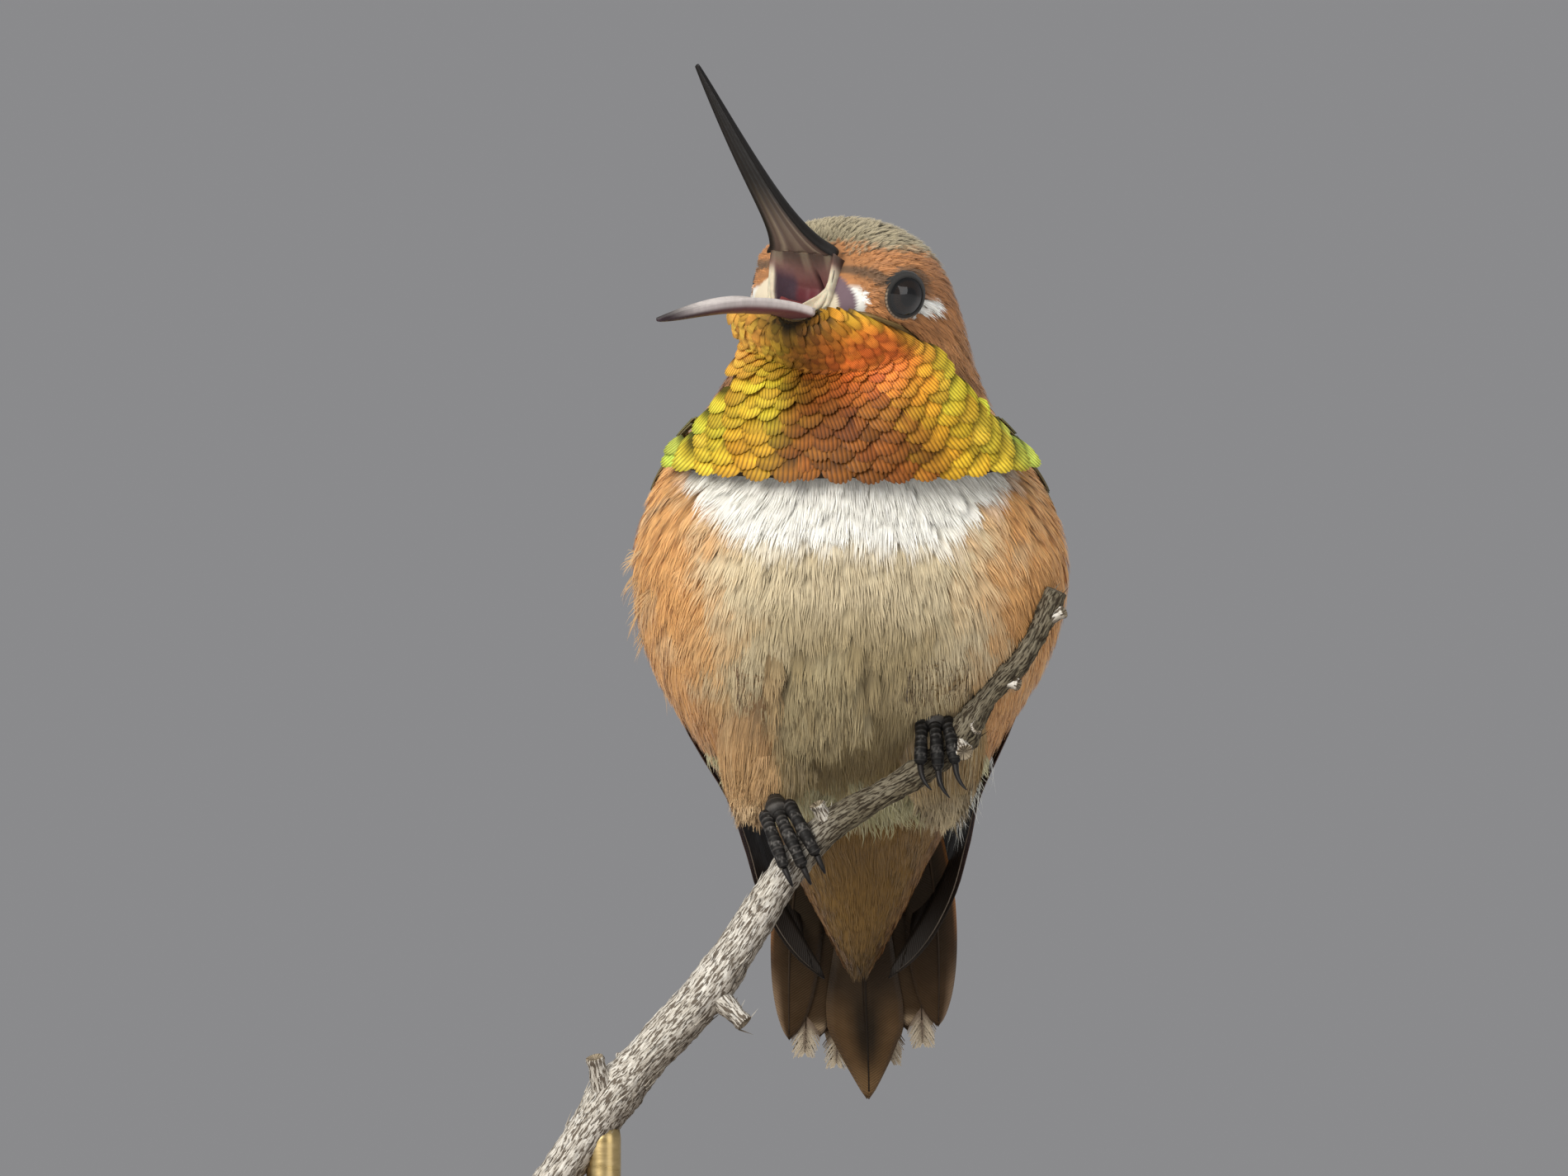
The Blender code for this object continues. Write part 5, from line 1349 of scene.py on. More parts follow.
def make_skirt():
    """Belly feathers that hang in front of the shank of the right foot."""
    count = 60
    x = rng.uniform(-1.6, 1.5, count)
    spread = 0.25 * abs(x)
    top = stack((x * 0.9 + 0.1, spread - 4.45, rng.uniform(36.7, 38.9, count)), axis=-1)
    end = stack((x + rng.uniform(-0.25, 0.25, count), rng.uniform(-4.9, -4.3, count),
        rng.uniform(33.6, 35.0, count) + spread), axis=-1)
    t = linspace(0.0, 1.0, 6)[None, :, None]
    line = arch(top, (top + end) / 2.0 + array((0.0, -0.6, 0.2)), end, t)
    normal = unit(array((0.0, -1.0, 0.15)) + (line - line.mean(axis=(0, 1))) * (0.12, 0.0, 0.0))
    # Painted shade: the feathers darken towards their right end, where the belly shades them; the
    # left end keeps the thigh's own orange.
    tints = blend((0.165, 0.117, 0.046), (0.4, 0.235, 0.095), smooth(0.9, -1.2, x
        + 0.5 * rng.random(count)))

    # Loose feathers from higher on the belly hang over the upper edge.
    loose = 150
    aside = rng.uniform(-1.1, 2.7, loose) + rng.uniform(0.0, 2.7, loose)
    height = rng.uniform(39.0, 43.6, loose) + 0.35 * maximum(aside - 1.6, 0.0)
    drop = rng.uniform(2.2, 3.8, loose)
    root = on_the_belly(aside, height) + (0.0, 0.4, 0.0)
    below = on_the_belly(aside, height - 0.55 * drop) + (0.0, -0.1, 0.0)
    last = stack((root[:, 0], below[:, 1] + 0.1, root[:, 2] - drop), axis=-1)
    hung = arch(root, below, last, t)
    over = blend((0.265, 0.2, 0.095), (0.37, 0.3, 0.165), rng.random(loose)) * 1.15
    over = blend(over, (0.4, 0.235, 0.095), 0.6 * smooth(0.4, -0.9, aside))

    line = concatenate((line, hung))
    front = broadcast_to(unit(array((0.0, -1.0, 0.1))), hung.shape)
    degrees = 180.0 + concatenate((x, aside)) * 8.0
    points, faces, colour, bake = barbed(line, concatenate((normal, front)), 1.2, 17, 0.09, 0.0,
        0.15, concatenate((tints, over)), bake_place(4.3, degrees), ragged=0.4, tip_out=0.12,
        wave=0.1, crown=0.08)
    return add_piece("shank_cover_feathers", "plume", points, faces, colour, bake,
        "belly_feathers")


def make_fluff():
    """Long pale hair-like filaments about the vent, and spikier ones at its left edge."""
    groups = ((130, (3.25, 3.95), (-62.0, 62.0), (1.6, 2.9), (0.0, 0.45), 11, 0.09, 0.4,
        (0.38, 0.35, 0.17), (0.66, 0.62, 0.38)), (22, (2.9, 3.7), (-86.0, -50.0), (2.4, 4.2),
        (0.3, 1.4), 6, 0.06, 0.95, (0.55, 0.55, 0.44), (0.86, 0.86, 0.8)), (14, (4.4, 6.4),
        (66.0, 92.0), (2.4, 3.6), (0.2, 0.9), 7, 0.07, 0.4, (0.58, 0.33, 0.13), (0.72, 0.48,
        0.24)))
    parts = []
    bakes = []
    for count, stations, turn, lengths, heights, strands, thin, tip_out, dark, pale in groups:
        station = rng.uniform(*stations, count)
        degrees = 180.0 + rng.uniform(*turn, count)
        length = rng.uniform(*lengths, count)
        lean = rng.uniform(-0.45, 0.45, count) + 0.25 * np.sign(degrees - 180.0)
        s, d = march(station, degrees, length, lean, 5)
        points, faces, colour, bake = barbed(body_points(s, d), body_normals(s, d),
            rng.uniform(0.9, 1.7, count), strands, thin, -0.4, rng.uniform(*heights, count),
            blend(dark, pale, rng.random(count)), bake_place(station, degrees), ragged=0.5,
            tip_out=tip_out, wave=0.22, root_shade=0.75)
        parts.append((points, faces, colour.reshape(points.shape)))
        bakes.append(bake.reshape(-1, 2))
    return add_piece("vent_filaments", "plume", *join(parts), concatenate(bakes), "belly_feathers")


# ---------------------------------------------------------------- wings and tail

def blade(path, side, normal, inner, outer, thick, camber, columns=9):
    """A closed thin feather vane along a path; inner and outer are its half widths."""
    x = linspace(-1.0, 1.0, columns)
    reach = where(x[None] < 0.0, asarray(inner)[:, None], asarray(outer)[:, None])
    across = side[:, None] * (x[None] * reach)[..., None]
    sag = -(camber * x**2)[None, :, None] * normal[:, None]
    flat = path[:, None] + across + sag
    edge = (0.25 + 0.75 * (1.0 - abs(x)**3))[None, :, None] * thick / 2.0
    top = flat + normal[:, None] * edge
    bottom = flat - normal[:, None] * edge
    points, faces = closed_tube(concatenate((top, bottom[:, ::-1]), axis=1))
    width = x[None] * reach
    slant = run_of(path)[:, None] + 0.75 * abs(width)
    grain = stack((width, slant, 0.0 * width), axis=-1) * MM
    return points, faces, wrapped(grain), wrapped(broadcast_to(x, width.shape))


def vane_bake(place, grain):
    """OFBake places of a vane: its own width and run, fitted to a small patch at one place."""
    flat = grain[..., :2].reshape(-1, 2)
    low = flat.min(axis=0)
    return place + ((flat - low) / maximum(flat.max(axis=0) - low, 1e-9) - 0.5) * PATCH


def add_shaft(parts, bakes, place, path, normal, along, thick, lift, tone):
    """A feather's shaft on one face of its vane; thick is its radius at the root and the tip."""
    radii = interp(along[:-1], (0.0, 1.0), thick)
    rings, _ = tube_rings(path[:-1] + normal[:-1] * lift, radii, 6, (0.13, -0.7, 0.7))
    points, faces = closed_tube(rings)
    parts.append((points, faces, tone, np.zeros_like(points)))
    bakes.append(broadcast_to(place, (points.size // 3, 2)))


def wing_points(way, share, across, lift=0.0):
    """Points of a folded wing: share along it, across from its leading to trailing edge."""
    share, across, lift = fields(share, across, lift)
    flat = spline(linspace(0.0, 1.0, len(WING)), WING, share.ravel())
    rows = flat.reshape(*share.shape, 5)
    tuck = 0.35 * smooth(0.5, 0.8, share) if way > 0.0 else 0.0
    degrees = rows[..., 1] + (rows[..., 3] - rows[..., 1]) * across
    raised = rows[..., 2] + (rows[..., 4] - rows[..., 2]) * across + lift - tuck
    return body_points(rows[..., 0], way * degrees, raised)


def wing_line(way, share, across, level):
    """A feather's line on a folded wing, with its ahead, sideways and upward directions."""
    path = wing_points(way, share, across, level)
    up = unit(wing_points(way, share, across, level + 0.3) - path)
    ahead = unit(gradient(path, axis=0))
    aside = unit(path - wing_points(way, share, across + 0.02, level))
    return path, ahead, unit(aside - ahead * (aside * ahead).sum(-1, keepdims=True)), up


def make_wing(side):
    """Ten primaries and rows of coverts over them."""
    way = 1.0 if side == "left" else -1.0
    parts = []
    bakes = []
    # The pale under face of each shaft darkens towards its tip.
    fade = interp(linspace(0.0, 1.0, 186), (0.0, 0.62, 0.85), (1.0, 1.0, 0.22))
    fade = fade.reshape(31, 6, 1) * (0.34, 0.28, 0.22)
    for i in range(10):
        end = 1.0 - 0.042 * i - 0.0016 * i * i
        start = 0.16 + 0.012 * i
        share = linspace(start, end, 30)
        u = (share - start) / (end - start)
        across = 0.07 + 0.093 * i * (1.0 - 0.35 * u)
        across = across - 0.46 * exp(-((share - 0.43) / 0.13)**2) * max(1.0 - i / 4.0, 0.0)
        level = 0.1 + 0.062 * i
        path, ahead, side_way, _ = wing_line(way, share, across, level)
        normal = unit(cross(side_way, ahead) * way)
        taper = minimum(1.0, 0.35 + 2.2 * u) * (1.0 - u**6)**0.7
        outer = 0.62 * (1.0 - 0.55 * smooth(0.58, 0.8, share)) * taper + 0.02
        inner = 1.3 + 0.9 * smooth(0.45, 0.65, share) * (1.0 if i > 1 else 0.2)
        inner = inner + (2.3 if i > 3 else 0.6 if i > 1 else 0.0) * smooth(0.42, 0.54, share)
        inner = inner * taper + 0.02
        points, faces, grain, spot = blade(path, side_way, normal, inner, outer, 0.13, 0.1)
        if way < 0.0:
            faces = faces[:, ::-1]
        along = capped(share)[:, None] + 0.0 * spot
        tint = blend((0.013, 0.01, 0.008), (0.062, 0.036, 0.036), smooth(0.0, 0.25, spot))
        tint = blend(tint, (0.115, 0.078, 0.062), 0.7 * smooth(0.86, 1.0, spot))
        tint = blend(tint, (0.013, 0.009, 0.006), smooth(0.58, 0.74, along))
        parts.append((points, faces, tint, grain))
        place = bake_place(5.0 - 0.35 * i, way * 95.0)
        bakes.append(vane_bake(place, grain))
        add_shaft(parts, bakes, place, path, normal, u, (0.1, 0.03), 0.05, (0.1, 0.07, 0.05))
        add_shaft(parts, bakes, place, path, normal, u, (0.09, 0.03), -0.05, fade)
    points, faces, tints, grain = join(parts)
    add_piece("wing_quills_" + side, "flight", points, faces, tints, concatenate(bakes),
        "flight_feathers", ("wing_" + side + "_primaries",), grain)
    parts = []
    bakes = []
    rows = ((0.0, 12, 1.5), (0.045, 12, 1.7), (0.1, 11, 2.0), (0.16, 10, 2.4), (0.22, 9, 3.2),
        (0.29, 8, 4.4))
    for order, (start, number, length) in enumerate(rows):
        for i in range(number):
            across = (i + 0.5 + 0.35 * (order % 2)) / number
            if across > 1.02:
                continue
            begin = start + rng.uniform(-0.006, 0.006)
            share = linspace(begin, begin + length * 0.028, 9)
            u = linspace(0.0, 1.0, 9)
            level = 0.86 - 0.05 * order + 0.1 * u + 0.02 * (i % 2)
            edge = 0.55 * clip((0.16 - across) / 0.16, 0.0, 1.0)
            path, _, side_way, normal = wing_line(way, maximum(share, 0.0), across, level - edge)
            span = wing_points(way, share[4:5], across + 0.5 / number, level[4:5])
            half = 0.85 * float(norm(span - path[4:5]))
            taper = sin(minimum(0.25 + 1.2 * u, 1.0) * pi / 2.0) * (1.0 - u**5)**0.6 + 0.02
            points, faces, grain, spot = blade(path, side_way, normal, half * taper * 1.25,
                half * taper * 1.25, 0.1, 0.12, 7)
            if way < 0.0:
                faces = faces[:, ::-1]
            base = blend((0.12, 0.135, 0.05), (0.05, 0.04, 0.028), smooth(0.0, 5.0, order)
                + 0.0 * spot)
            tint = blend(base, (0.26, 0.13, 0.05), 0.55 * smooth(0.75, 1.0, abs(spot)))
            tint = tint * rng.uniform(0.8, 1.2)
            parts.append((points, faces, tint, grain))
            place = bake_place(7.4 - 0.5 * order, way * (62.0 - 30.0 * across))
            bakes.append(vane_bake(place, grain))
    points, faces, tints, grain = join(parts)
    add_piece("wing_coverts_" + side, "flight", points, faces, tints, concatenate(bakes),
        "wing_covert_feathers", ("wing_" + side + "_coverts",), grain)


# Root and tip aside of the tail's middle, bow, length, inner and outer half widths, pale tip.
RECTRICES = ((0.1, 0.06, 0.0, 22.0, 2.15, 2.15, False), (0.5, 1.62, 0.1, 20.5, 1.55, 0.95, True),
             (1.15, 2.55, 0.2, 17.7, 1.7, 1.45, False), (2.0, 3.45, 0.3, 19.2, 1.6, 1.05, True),
             (3.0, 4.35, 0.5, 17.4, 1.9, 1.15, False))


def make_tail():
    """Ten tail feathers; some end in pale barbs parted by a notch."""
    pitch = math.radians(TAIL_PITCH)
    root = array(TAIL_ROOT)
    down = array((0.0, math.cos(pitch), -math.sin(pitch)))
    under = array((0.0, -math.sin(pitch), -math.cos(pitch)))
    across = array((1.0, 0.0, 0.0))
    parts = []
    bakes = []
    strands = []
    strand_bakes = []
    share = linspace(0.0, 1.0, 40)
    for order, (root_x, tip_x, bow, longest, inner_half, outer_half, pale) in enumerate(RECTRICES):
        for sign in (1.0, -1.0):
            level = 0.22 * ((3.5 if order == 0 else order) + (0.2 if sign > 0.0 else 0.0)) + 0.22
            length = longest - sign * 0.12 * order
            s = share * (0.9 if pale else 1.0)

            def middle_at(s, lift=0.0):
                aside = sign * (root_x + (tip_x - root_x) * s + bow * sin(s * pi))
                aside = aside + 0.25 * smooth(0.6, 1.0, s) * (order == 0)
                return (root + down * (s * length)[:, None] + across * aside[:, None]
                    + under * (level - 0.25 * s**2 + lift)[:, None])

            path = middle_at(s)
            ahead = unit(gradient(path, axis=0))
            sides = unit(across - ahead * (ahead @ across)[:, None])
            normal = repeat(under[None], len(share), axis=0)
            if order == 0:
                swell = interp(s, (0.0, 0.4, 0.7, 0.78, 0.9, 0.97, 1.0), (0.3, 0.6, 1.02, 1.0,
                    0.52, 0.2, 0.02))
            elif pale:
                swell = minimum(1.0, 0.55 + 0.8 * s) * smooth(0.99, 0.8, s)**0.7 + 0.02
            else:
                swell = minimum(1.0, 0.62 + 0.8 * s) * maximum(1.0 - s**6, 0.0)**0.75 + 0.02
            halves = (inner_half * swell, outer_half * swell)[::int(sign)]
            points, faces, grain, spot = blade(path, sides, normal, *halves, 0.1, 0.06, 11)
            s2 = capped(s)[:, None] + 0.0 * spot
            out_spot = spot * sign
            tint = blend((0.022, 0.014, 0.006), (0.058, 0.033, 0.014), smooth(0.45, 0.95, s2))
            if order == 0:
                tint = blend((0.098, 0.056, 0.024), (0.016, 0.011, 0.006), smooth(0.62, 0.12,
                    abs(spot)) * smooth(1.0, 0.8, s2))
                tint = blend((0.035, 0.022, 0.011), tint, smooth(0.62, 0.78, s2))
                tint = blend(tint, (0.19, 0.115, 0.052), smooth(0.86, 0.98, s2))
            else:
                tint = blend(tint, (0.066, 0.036, 0.016), smooth(0.2, 0.9, out_spot))
            if order == 4:
                edge = smooth(0.9, 1.0, out_spot)
                tint = blend(tint, (0.36, 0.15, 0.045), edge * smooth(0.7, 0.5, s2))
                tint = blend(tint, (0.26, 0.175, 0.105), smooth(0.35, 1.0, out_spot) * smooth(0.68,
                    0.86, s2))
            if pale:
                tint = blend(tint, (0.36, 0.27, 0.17), smooth(0.845, 0.885, s2) * smooth(0.0, 0.25,
                    abs(spot)))
            parts.append((points, faces, tint, grain))
            place = bake_place(0.6 + 0.3 * order, 180.0 + 12.0 * sign * (order + 0.3))
            bakes.append(vane_bake(place, grain))
            for lift, tone in ((0.05, (0.05, 0.032, 0.018)), (-0.05, (0.1, 0.07, 0.045))):
                add_shaft(parts, bakes, place, path, normal, share, (0.12, 0.035), lift,
                    array(tone) * (0.4 if order == 0 else 1.0))
            if not pale:
                continue
            number = 22
            wide = 0.5 * (inner_half + outer_half)
            for edge in (1.0, -1.0):
                u = linspace(0.835, 0.958, number)
                start = middle_at(u, 0.06)
                reach = wide * interp(u, (0.83, 0.88, 0.96), (1.25, 1.15, 1.0))
                reach = minimum(reach, (0.972 - u) * length / 0.8 + 0.12)
                reach = reach * rng.uniform(0.9, 1.05, number)
                lean = radians(interp(u, (0.83, 0.96), (40.0, 27.0)) + rng.uniform(-2.5, 2.5,
                    number))
                steps = linspace(0.0, 1.0, 5)
                turn = lean[:, None] * (1.0 - 0.18 * steps)
                dist = reach[:, None] * steps
                line = (start[:, None] + sides[-1] * (edge * dist * sin(turn))[..., None]
                    + ahead[-1] * (dist * cos(turn))[..., None])
                widthways = (sides[-1] * cos(lean)[:, None] - ahead[-1] * (edge * sin(lean))[:,
                    None])
                half = 0.046 * (1.0 - 0.5 * steps**2)
                ribbon = widthways[:, None] * half[None, :, None]
                strand = stack((line - ribbon, line + ribbon), axis=2)
                tone = blend((0.14, 0.094, 0.06), (0.66, 0.57, 0.42),
                    (smooth(0.0, 0.4, steps)[None] + 0.0 * dist) * smooth(0.83, 0.885, u)[:, None]
                    * rng.uniform(0.75, 1.0, number)[:, None])
                strands.append((strand, grid_faces(number, 5, 2), repeat(tone[:, :, None], 2,
                    axis=2)))
                local = stack((edge * dist * 0.001, (u - 0.9)[:, None] * 0.02 + 0.0 * dist),
                    axis=-1)
                strand_bakes.append(repeat((place + local)[:, :, None], 2, axis=2).reshape(-1, 2))
    points, faces, tints, grain = join(parts)
    add_piece("tail_rectrices", "flight", points, faces, tints, concatenate(bakes),
        "flight_feathers", ("tail",), grain)
    return add_piece("tail_tip_barbs", "plume", *join(strands), concatenate(strand_bakes),
        "flight_feathers")


# ---------------------------------------------------------------- feet

def twig_point(x):
    keys = linspace(0.0, len(TWIG) - 1.0, 121)
    rows = spline(arange(len(TWIG)), TWIG, keys)
    i = int(np.argmin(abs(rows[:, 0] - x)))
    heading = rows[min(i + 1, len(rows) - 1), :3] - rows[max(i - 1, 0), :3]
    return rows[i, :3], rows[i, 3], unit(heading)


def make_foot(side):
    """Shank, pad and toes with scutes; the claws are a piece of their own."""
    anchor_x, (run_x, run_z), rise = FEET[side]
    anchor, twig_radius, along = twig_point(anchor_x)
    top = -array((run_x, 0.0, run_z)) / math.hypot(run_x, run_z)
    front = array((0.0, -1.0, 0.0))
    across = cross(top, front)
    reach = twig_radius + TOE_RADIUS + TOE_CLEARANCE
    slant = abs(float(np.dot(along, across)))

    def toe_point(degrees, shift, lift=0.0):
        angle = radians(degrees)
        upward = (reach + lift) / slant
        upward = where(cos(angle) > 0.0, upward + (rise - upward) * cos(angle), upward)
        return (anchor + top * (upward * cos(angle))[..., None] + front * ((reach + lift)
            * sin(angle))[..., None] + across * asarray(shift + 0.0 * degrees)[..., None])

    parts = []
    claws = []
    toes = [(1.0, end, shift) for (_, end), shift in zip(TOE_ENDS, (-TOE_SPACING, 0.0,
        TOE_SPACING))]
    toes.append((-1.0, HALLUX_END, 0.0))
    for way, end, shift in toes:
        step = linspace(-0.1, 1.0, 64)
        degrees = TOE_START + (end - TOE_START) * step
        path = toe_point(way * degrees, shift * (TOE_ROOT_SPACING + TOE_SPREAD * step))
        run = run_of(path)
        out = unit(path - (anchor + across * ((path - anchor) @ across)[:, None]))
        sideways = unit(cross(unit(gradient(path, axis=0)), out))
        angle = circle(24)
        outward = (out[:, None] * cos(angle)[None, :, None] + sideways[:, None] * sin(angle)[None,
            :, None])
        scute = (run / 0.3) % 1.0
        ridge = 0.045 * (scute**2 - 0.3)[:, None] * smooth(0.1, 0.7, cos(angle))[None]
        pads = 0.05 * cos(run * 6.5)[:, None] * smooth(0.2, 0.9, -cos(angle))[None]
        joint = 1.0 + 0.07 * cos(run * 3.1)
        radius = TOE_RADIUS * (TOE_ROOT_WIDTH - 0.14 * step) * joint
        tip = np.sqrt(maximum(1.0 - maximum((step - 0.9) / 0.115, 0.0)**2, 0.08))
        radius = (radius * tip)[:, None] * where(cos(angle) > 0, 0.96, 1.0)[None]
        rings = path[:, None] + outward * (radius + ridge + pads)[..., None]
        points, faces = closed_tube(rings)
        groove = smooth(0.8, 0.98, scute)[:, None] * smooth(0.1, 0.6, cos(angle))[None]
        speck = smooth(0.45, 0.9, ripple(run[:, None] * 4.0, angle[None] * 2.0, shift))
        tint = blend((0.0085, 0.0075, 0.007), (0.055, 0.05, 0.046), groove)
        tint = blend(tint, (0.16, 0.15, 0.14), 0.6 * speck)
        tint = blend(tint, (0.04, 0.034, 0.029), 0.5 * smooth(0.0, 0.9, -cos(angle))[None])
        # Painted shade and light: the toes of the left foot are darkened as if in shade, those of
        # the right foot brightened.
        parts.append((points, faces, capped(tint) * (0.55 if side == "left" else 1.1)))
        step = linspace(-0.12, 1.0, 26)
        degrees = end + CLAW_START + CLAW_SWEEP * step
        shifted = full(26, shift * (TOE_ROOT_SPACING + TOE_SPREAD))
        path = toe_point(way * degrees, shifted, 0.42 * sin(clip(step, 0.0, 1.0) * 2.4))
        if side == "left" and way > 0.0:
            push = unit(path[4] - path[3])
            out_run = maximum(step, 0.0)
            path = path[3] + push * (step * 1.75)[:, None] + array((1.0, 0.25, 0.25)) * (0.55
                * out_run**2.2)[:, None]
        radius = 0.25 * (1.0 - clip(step, 0.0, 1.0))**0.7 + 0.025
        rings, _ = tube_rings(path, radius, 18, across)
        middle = rings.mean(axis=1, keepdims=True)
        slim = ((rings - middle) @ across)[..., None] * across
        rings = rings - 0.3 * slim
        points, faces = closed_tube(rings)
        tone = blend((0.014, 0.012, 0.011), (0.006, 0.005, 0.005), clip(step, 0.0, 1.0))
        claws.append((points, faces, capped(tone)[:, None]))
    pad_centre = anchor + top * rise
    top_point = array(SHANK_TOP[side])
    share = linspace(0.0, 1.0, 60)
    bent = array(((*(pad_centre - top * 0.55), 0.3), (*(pad_centre - top * 0.25), 0.62),
        (*pad_centre, 0.7), (*(pad_centre + (top_point - pad_centre) * 0.2 - front * 0.7), 0.46),
        (*(pad_centre + (top_point - pad_centre) * 0.45 - front * 1.1), 0.42),
        (*(top_point - front * 0.8), 0.42)))
    rows = spline(linspace(0.0, 1.0, 6), bent, share)
    rings, outward = tube_rings(rows[:, :3], rows[:, 3], 26)
    facing = outward @ front
    scute = (share * 14.0) % 1.0
    rings = rings + outward * (0.035 * (scute**2 - 0.3)[:, None] * smooth(0.0, 0.7, facing))[...,
        None]
    points, faces = closed_tube(rings)
    tint = blend((0.022, 0.02, 0.018), (0.085, 0.078, 0.072), smooth(0.8, 0.98, scute)[:, None]
        * smooth(0.0, 0.6, facing))
    parts.append((points, faces, capped(tint)))
    names = [name for name, _ in TOE_ENDS] + ["hind"]
    add_piece("foot_" + side, "foot", *join(parts), slot="foot_skin", replaced=["leg_" + side]
        + ["toe_%s_%s" % (side, name) for name in names])
    add_piece("claws_" + side, "horn", *join(claws), slot="horn", replaced=["claw_%s_%s" % (side,
        name) for name in names])


# ---------------------------------------------------------------- twig, stand and floor

def bark_tube(path, radii, sides, fissures, depth=0.085, knotted=0.0):
    """A length of twig with long narrow cracks, as points, faces, tints and grain."""
    run = run_of(path)
    rings, outward = tube_rings(path, radii, sides)
    angle = circle(sides)
    radius = asarray(radii)[:, None]
    rough = 1.0 + 1.6 * smooth(0.62, 0.78, run / run[-1])[:, None] * knotted
    turn = cos(angle)[None]
    lumps = 0.05 * rough * ripple(run[:, None] * 0.9, turn * 2.0, 1.0) * radius
    lumps = lumps + 0.03 * rough * ripple(run[:, None] * 3.6, sin(angle)[None] * 4.0, 3.0) * radius
    crack = zeros((len(run), sides))
    for _ in range(fissures):
        at = rng.uniform(0.0, run[-1])
        turn = rng.uniform(0.0, 2.0 * pi)
        half = rng.uniform(0.15, 0.55)
        thin = rng.uniform(0.035, 0.065)
        drift = rng.uniform(-0.1, 0.1)
        near = exp(-(((run - at) / half)**4))[:, None]
        gap = (angle[None] - turn - drift * (run[:, None] - at) + pi) % (2.0 * pi) - pi
        crack = maximum(crack, near * exp(-(gap * radius / thin)**2) * rng.uniform(0.5, 1.0))
    rings = rings + outward * (lumps - depth * crack)[..., None]
    # Painted light and shade: the bark is lighter on top and darker and browner on its underside.
    low = smooth(0.2, -0.8, outward[..., 2])
    tint = blend((1.16, 1.18, 1.22), (0.52, 0.47, 0.4), low * 0.9)
    # The upper part of the twig is browner and darker: partly its own bark, partly painted shade.
    upper_bark_and_shade = smooth(0.48, 0.66, run / run[-1])[:, None] * knotted + 0.0 * low
    tint = blend(tint, (0.215, 0.185, 0.118), upper_bark_and_shade * 0.9)
    tint = tint * (1.0 - 0.72 * crack)[..., None]
    grain = stack((radius * cos(angle)[None], radius * sin(angle)[None], run[:, None]
        + 0.0 * crack), axis=-1) * MM
    # The cut end is a shallow dish in four steps.
    middle = rings[0].mean(axis=0)
    first = rings[0] - middle
    for size, sink in ((0.97, 0.05), (0.8, 0.02), (0.5, -0.05), (0.2, -0.1)):
        ring = middle + first * size + unit(path[0] - path[1]) * sink
        tone = array((0.56, 0.49, 0.39)) * (0.75 + 0.25 * size) + zeros((1, sides, 3))
        rings = concatenate((ring[None], rings))
        tint = concatenate((tone, tint))
        grain = concatenate((grain[:1], grain))
    points, faces = closed_tube(rings)
    return points, faces, capped(tint), capped(grain)


def grow_splinters(twig):
    """Slivers of weathered bark lifted from the twig, strewn over it by a node tree."""
    tree = bpy.data.node_groups.new("bark_splinters", "GeometryNodeTree")

    def new_socket(label, way, kind="Float"):
        return tree.interface.new_socket(label, in_out=way, socket_type="NodeSocket" + kind)

    new_socket("Geometry", "INPUT", "Geometry")
    wanted = {"Density": 700000.0, "Length": 0.0009, "Thickness": 0.00005}
    sockets = {}
    for label, value in wanted.items():
        socket = new_socket(label, "INPUT")
        socket.default_value = value
        sockets[label] = socket.identifier
    new_socket("Geometry", "OUTPUT", "Geometry")

    def add(kind, settings=None, **inputs):
        node = tree.nodes.new(kind)
        for key, value in (settings or {}).items():
            setattr(node, key, value)
        for key, value in inputs.items():
            socket = node.inputs[key.replace("_", " ")]
            if isinstance(value, bpy.types.NodeSocket):
                tree.links.new(value, socket)
            else:
                socket.default_value = value
        return node

    enter = add("NodeGroupInput").outputs
    strewn = add("GeometryNodeDistributePointsOnFaces", {"distribute_method": "RANDOM"},
        Mesh=enter["Geometry"], Density=enter["Density"], Seed=11).outputs
    sliver = add("GeometryNodeMeshCone", Vertices=4, Radius_Top=0.0, Radius_Bottom=enter[
        "Thickness"], Depth=enter["Length"]).outputs["Mesh"]
    laid = add("GeometryNodeTransform", Geometry=sliver, Rotation=(0.0, math.radians(84.0),
        0.0)).outputs["Geometry"]
    along = add("FunctionNodeAlignRotationToVector", {"axis": "X", "pivot_axis": "Z"},
        Rotation=strewn["Rotation"], Vector=(0.72, -0.1, 0.66)).outputs["Rotation"]
    size = add("FunctionNodeRandomValue", {"data_type": "FLOAT"}, Min=0.35, Max=1.25, Seed=5)
    placed = add("GeometryNodeInstanceOnPoints", Points=strewn["Points"], Instance=laid,
        Rotation=along, Scale=size.outputs["Value"]).outputs["Instances"]
    solid = add("GeometryNodeRealizeInstances", Geometry=placed).outputs["Geometry"]
    coated = add("GeometryNodeSetMaterial", Geometry=solid, Material=finishes["bark"])
    add("NodeGroupOutput", Geometry=coated.outputs["Geometry"])
    holder = bpy.data.objects.new("bark_splinters", twig.data.copy())
    bpy.context.scene.collection.objects.link(holder)
    modifier = holder.modifiers.new("splinters", "NODES")
    modifier.node_group = tree
    for label, value in wanted.items():
        modifier[sockets[label]] = value
    grown = holder.evaluated_get(bpy.context.evaluated_depsgraph_get())
    mesh = bpy.data.meshes.new_from_object(grown)
    holder.modifiers.remove(modifier)
    bpy.data.objects.remove(holder)
    points = np.empty(len(mesh.vertices) * 3, np.float32)
    mesh.vertices.foreach_get("co", points)
    points = points.reshape(-1, 3)
    tone = rng.uniform(0.25, 1.0, len(points) // 5 + 1).repeat(5)[:len(points), None]
    # Splinters higher up take the upper twig's browner, darker tone: partly their own colour,
    # partly painted shade.
    upper_tone_and_shade = smooth(30.0, 36.0, points[:, 2] / MM)
    hold(mesh, tone * blend((1.0, 0.97, 0.9), (0.42, 0.38, 0.28), upper_tone_and_shade), points)
    return present("bark_splinters", mesh)


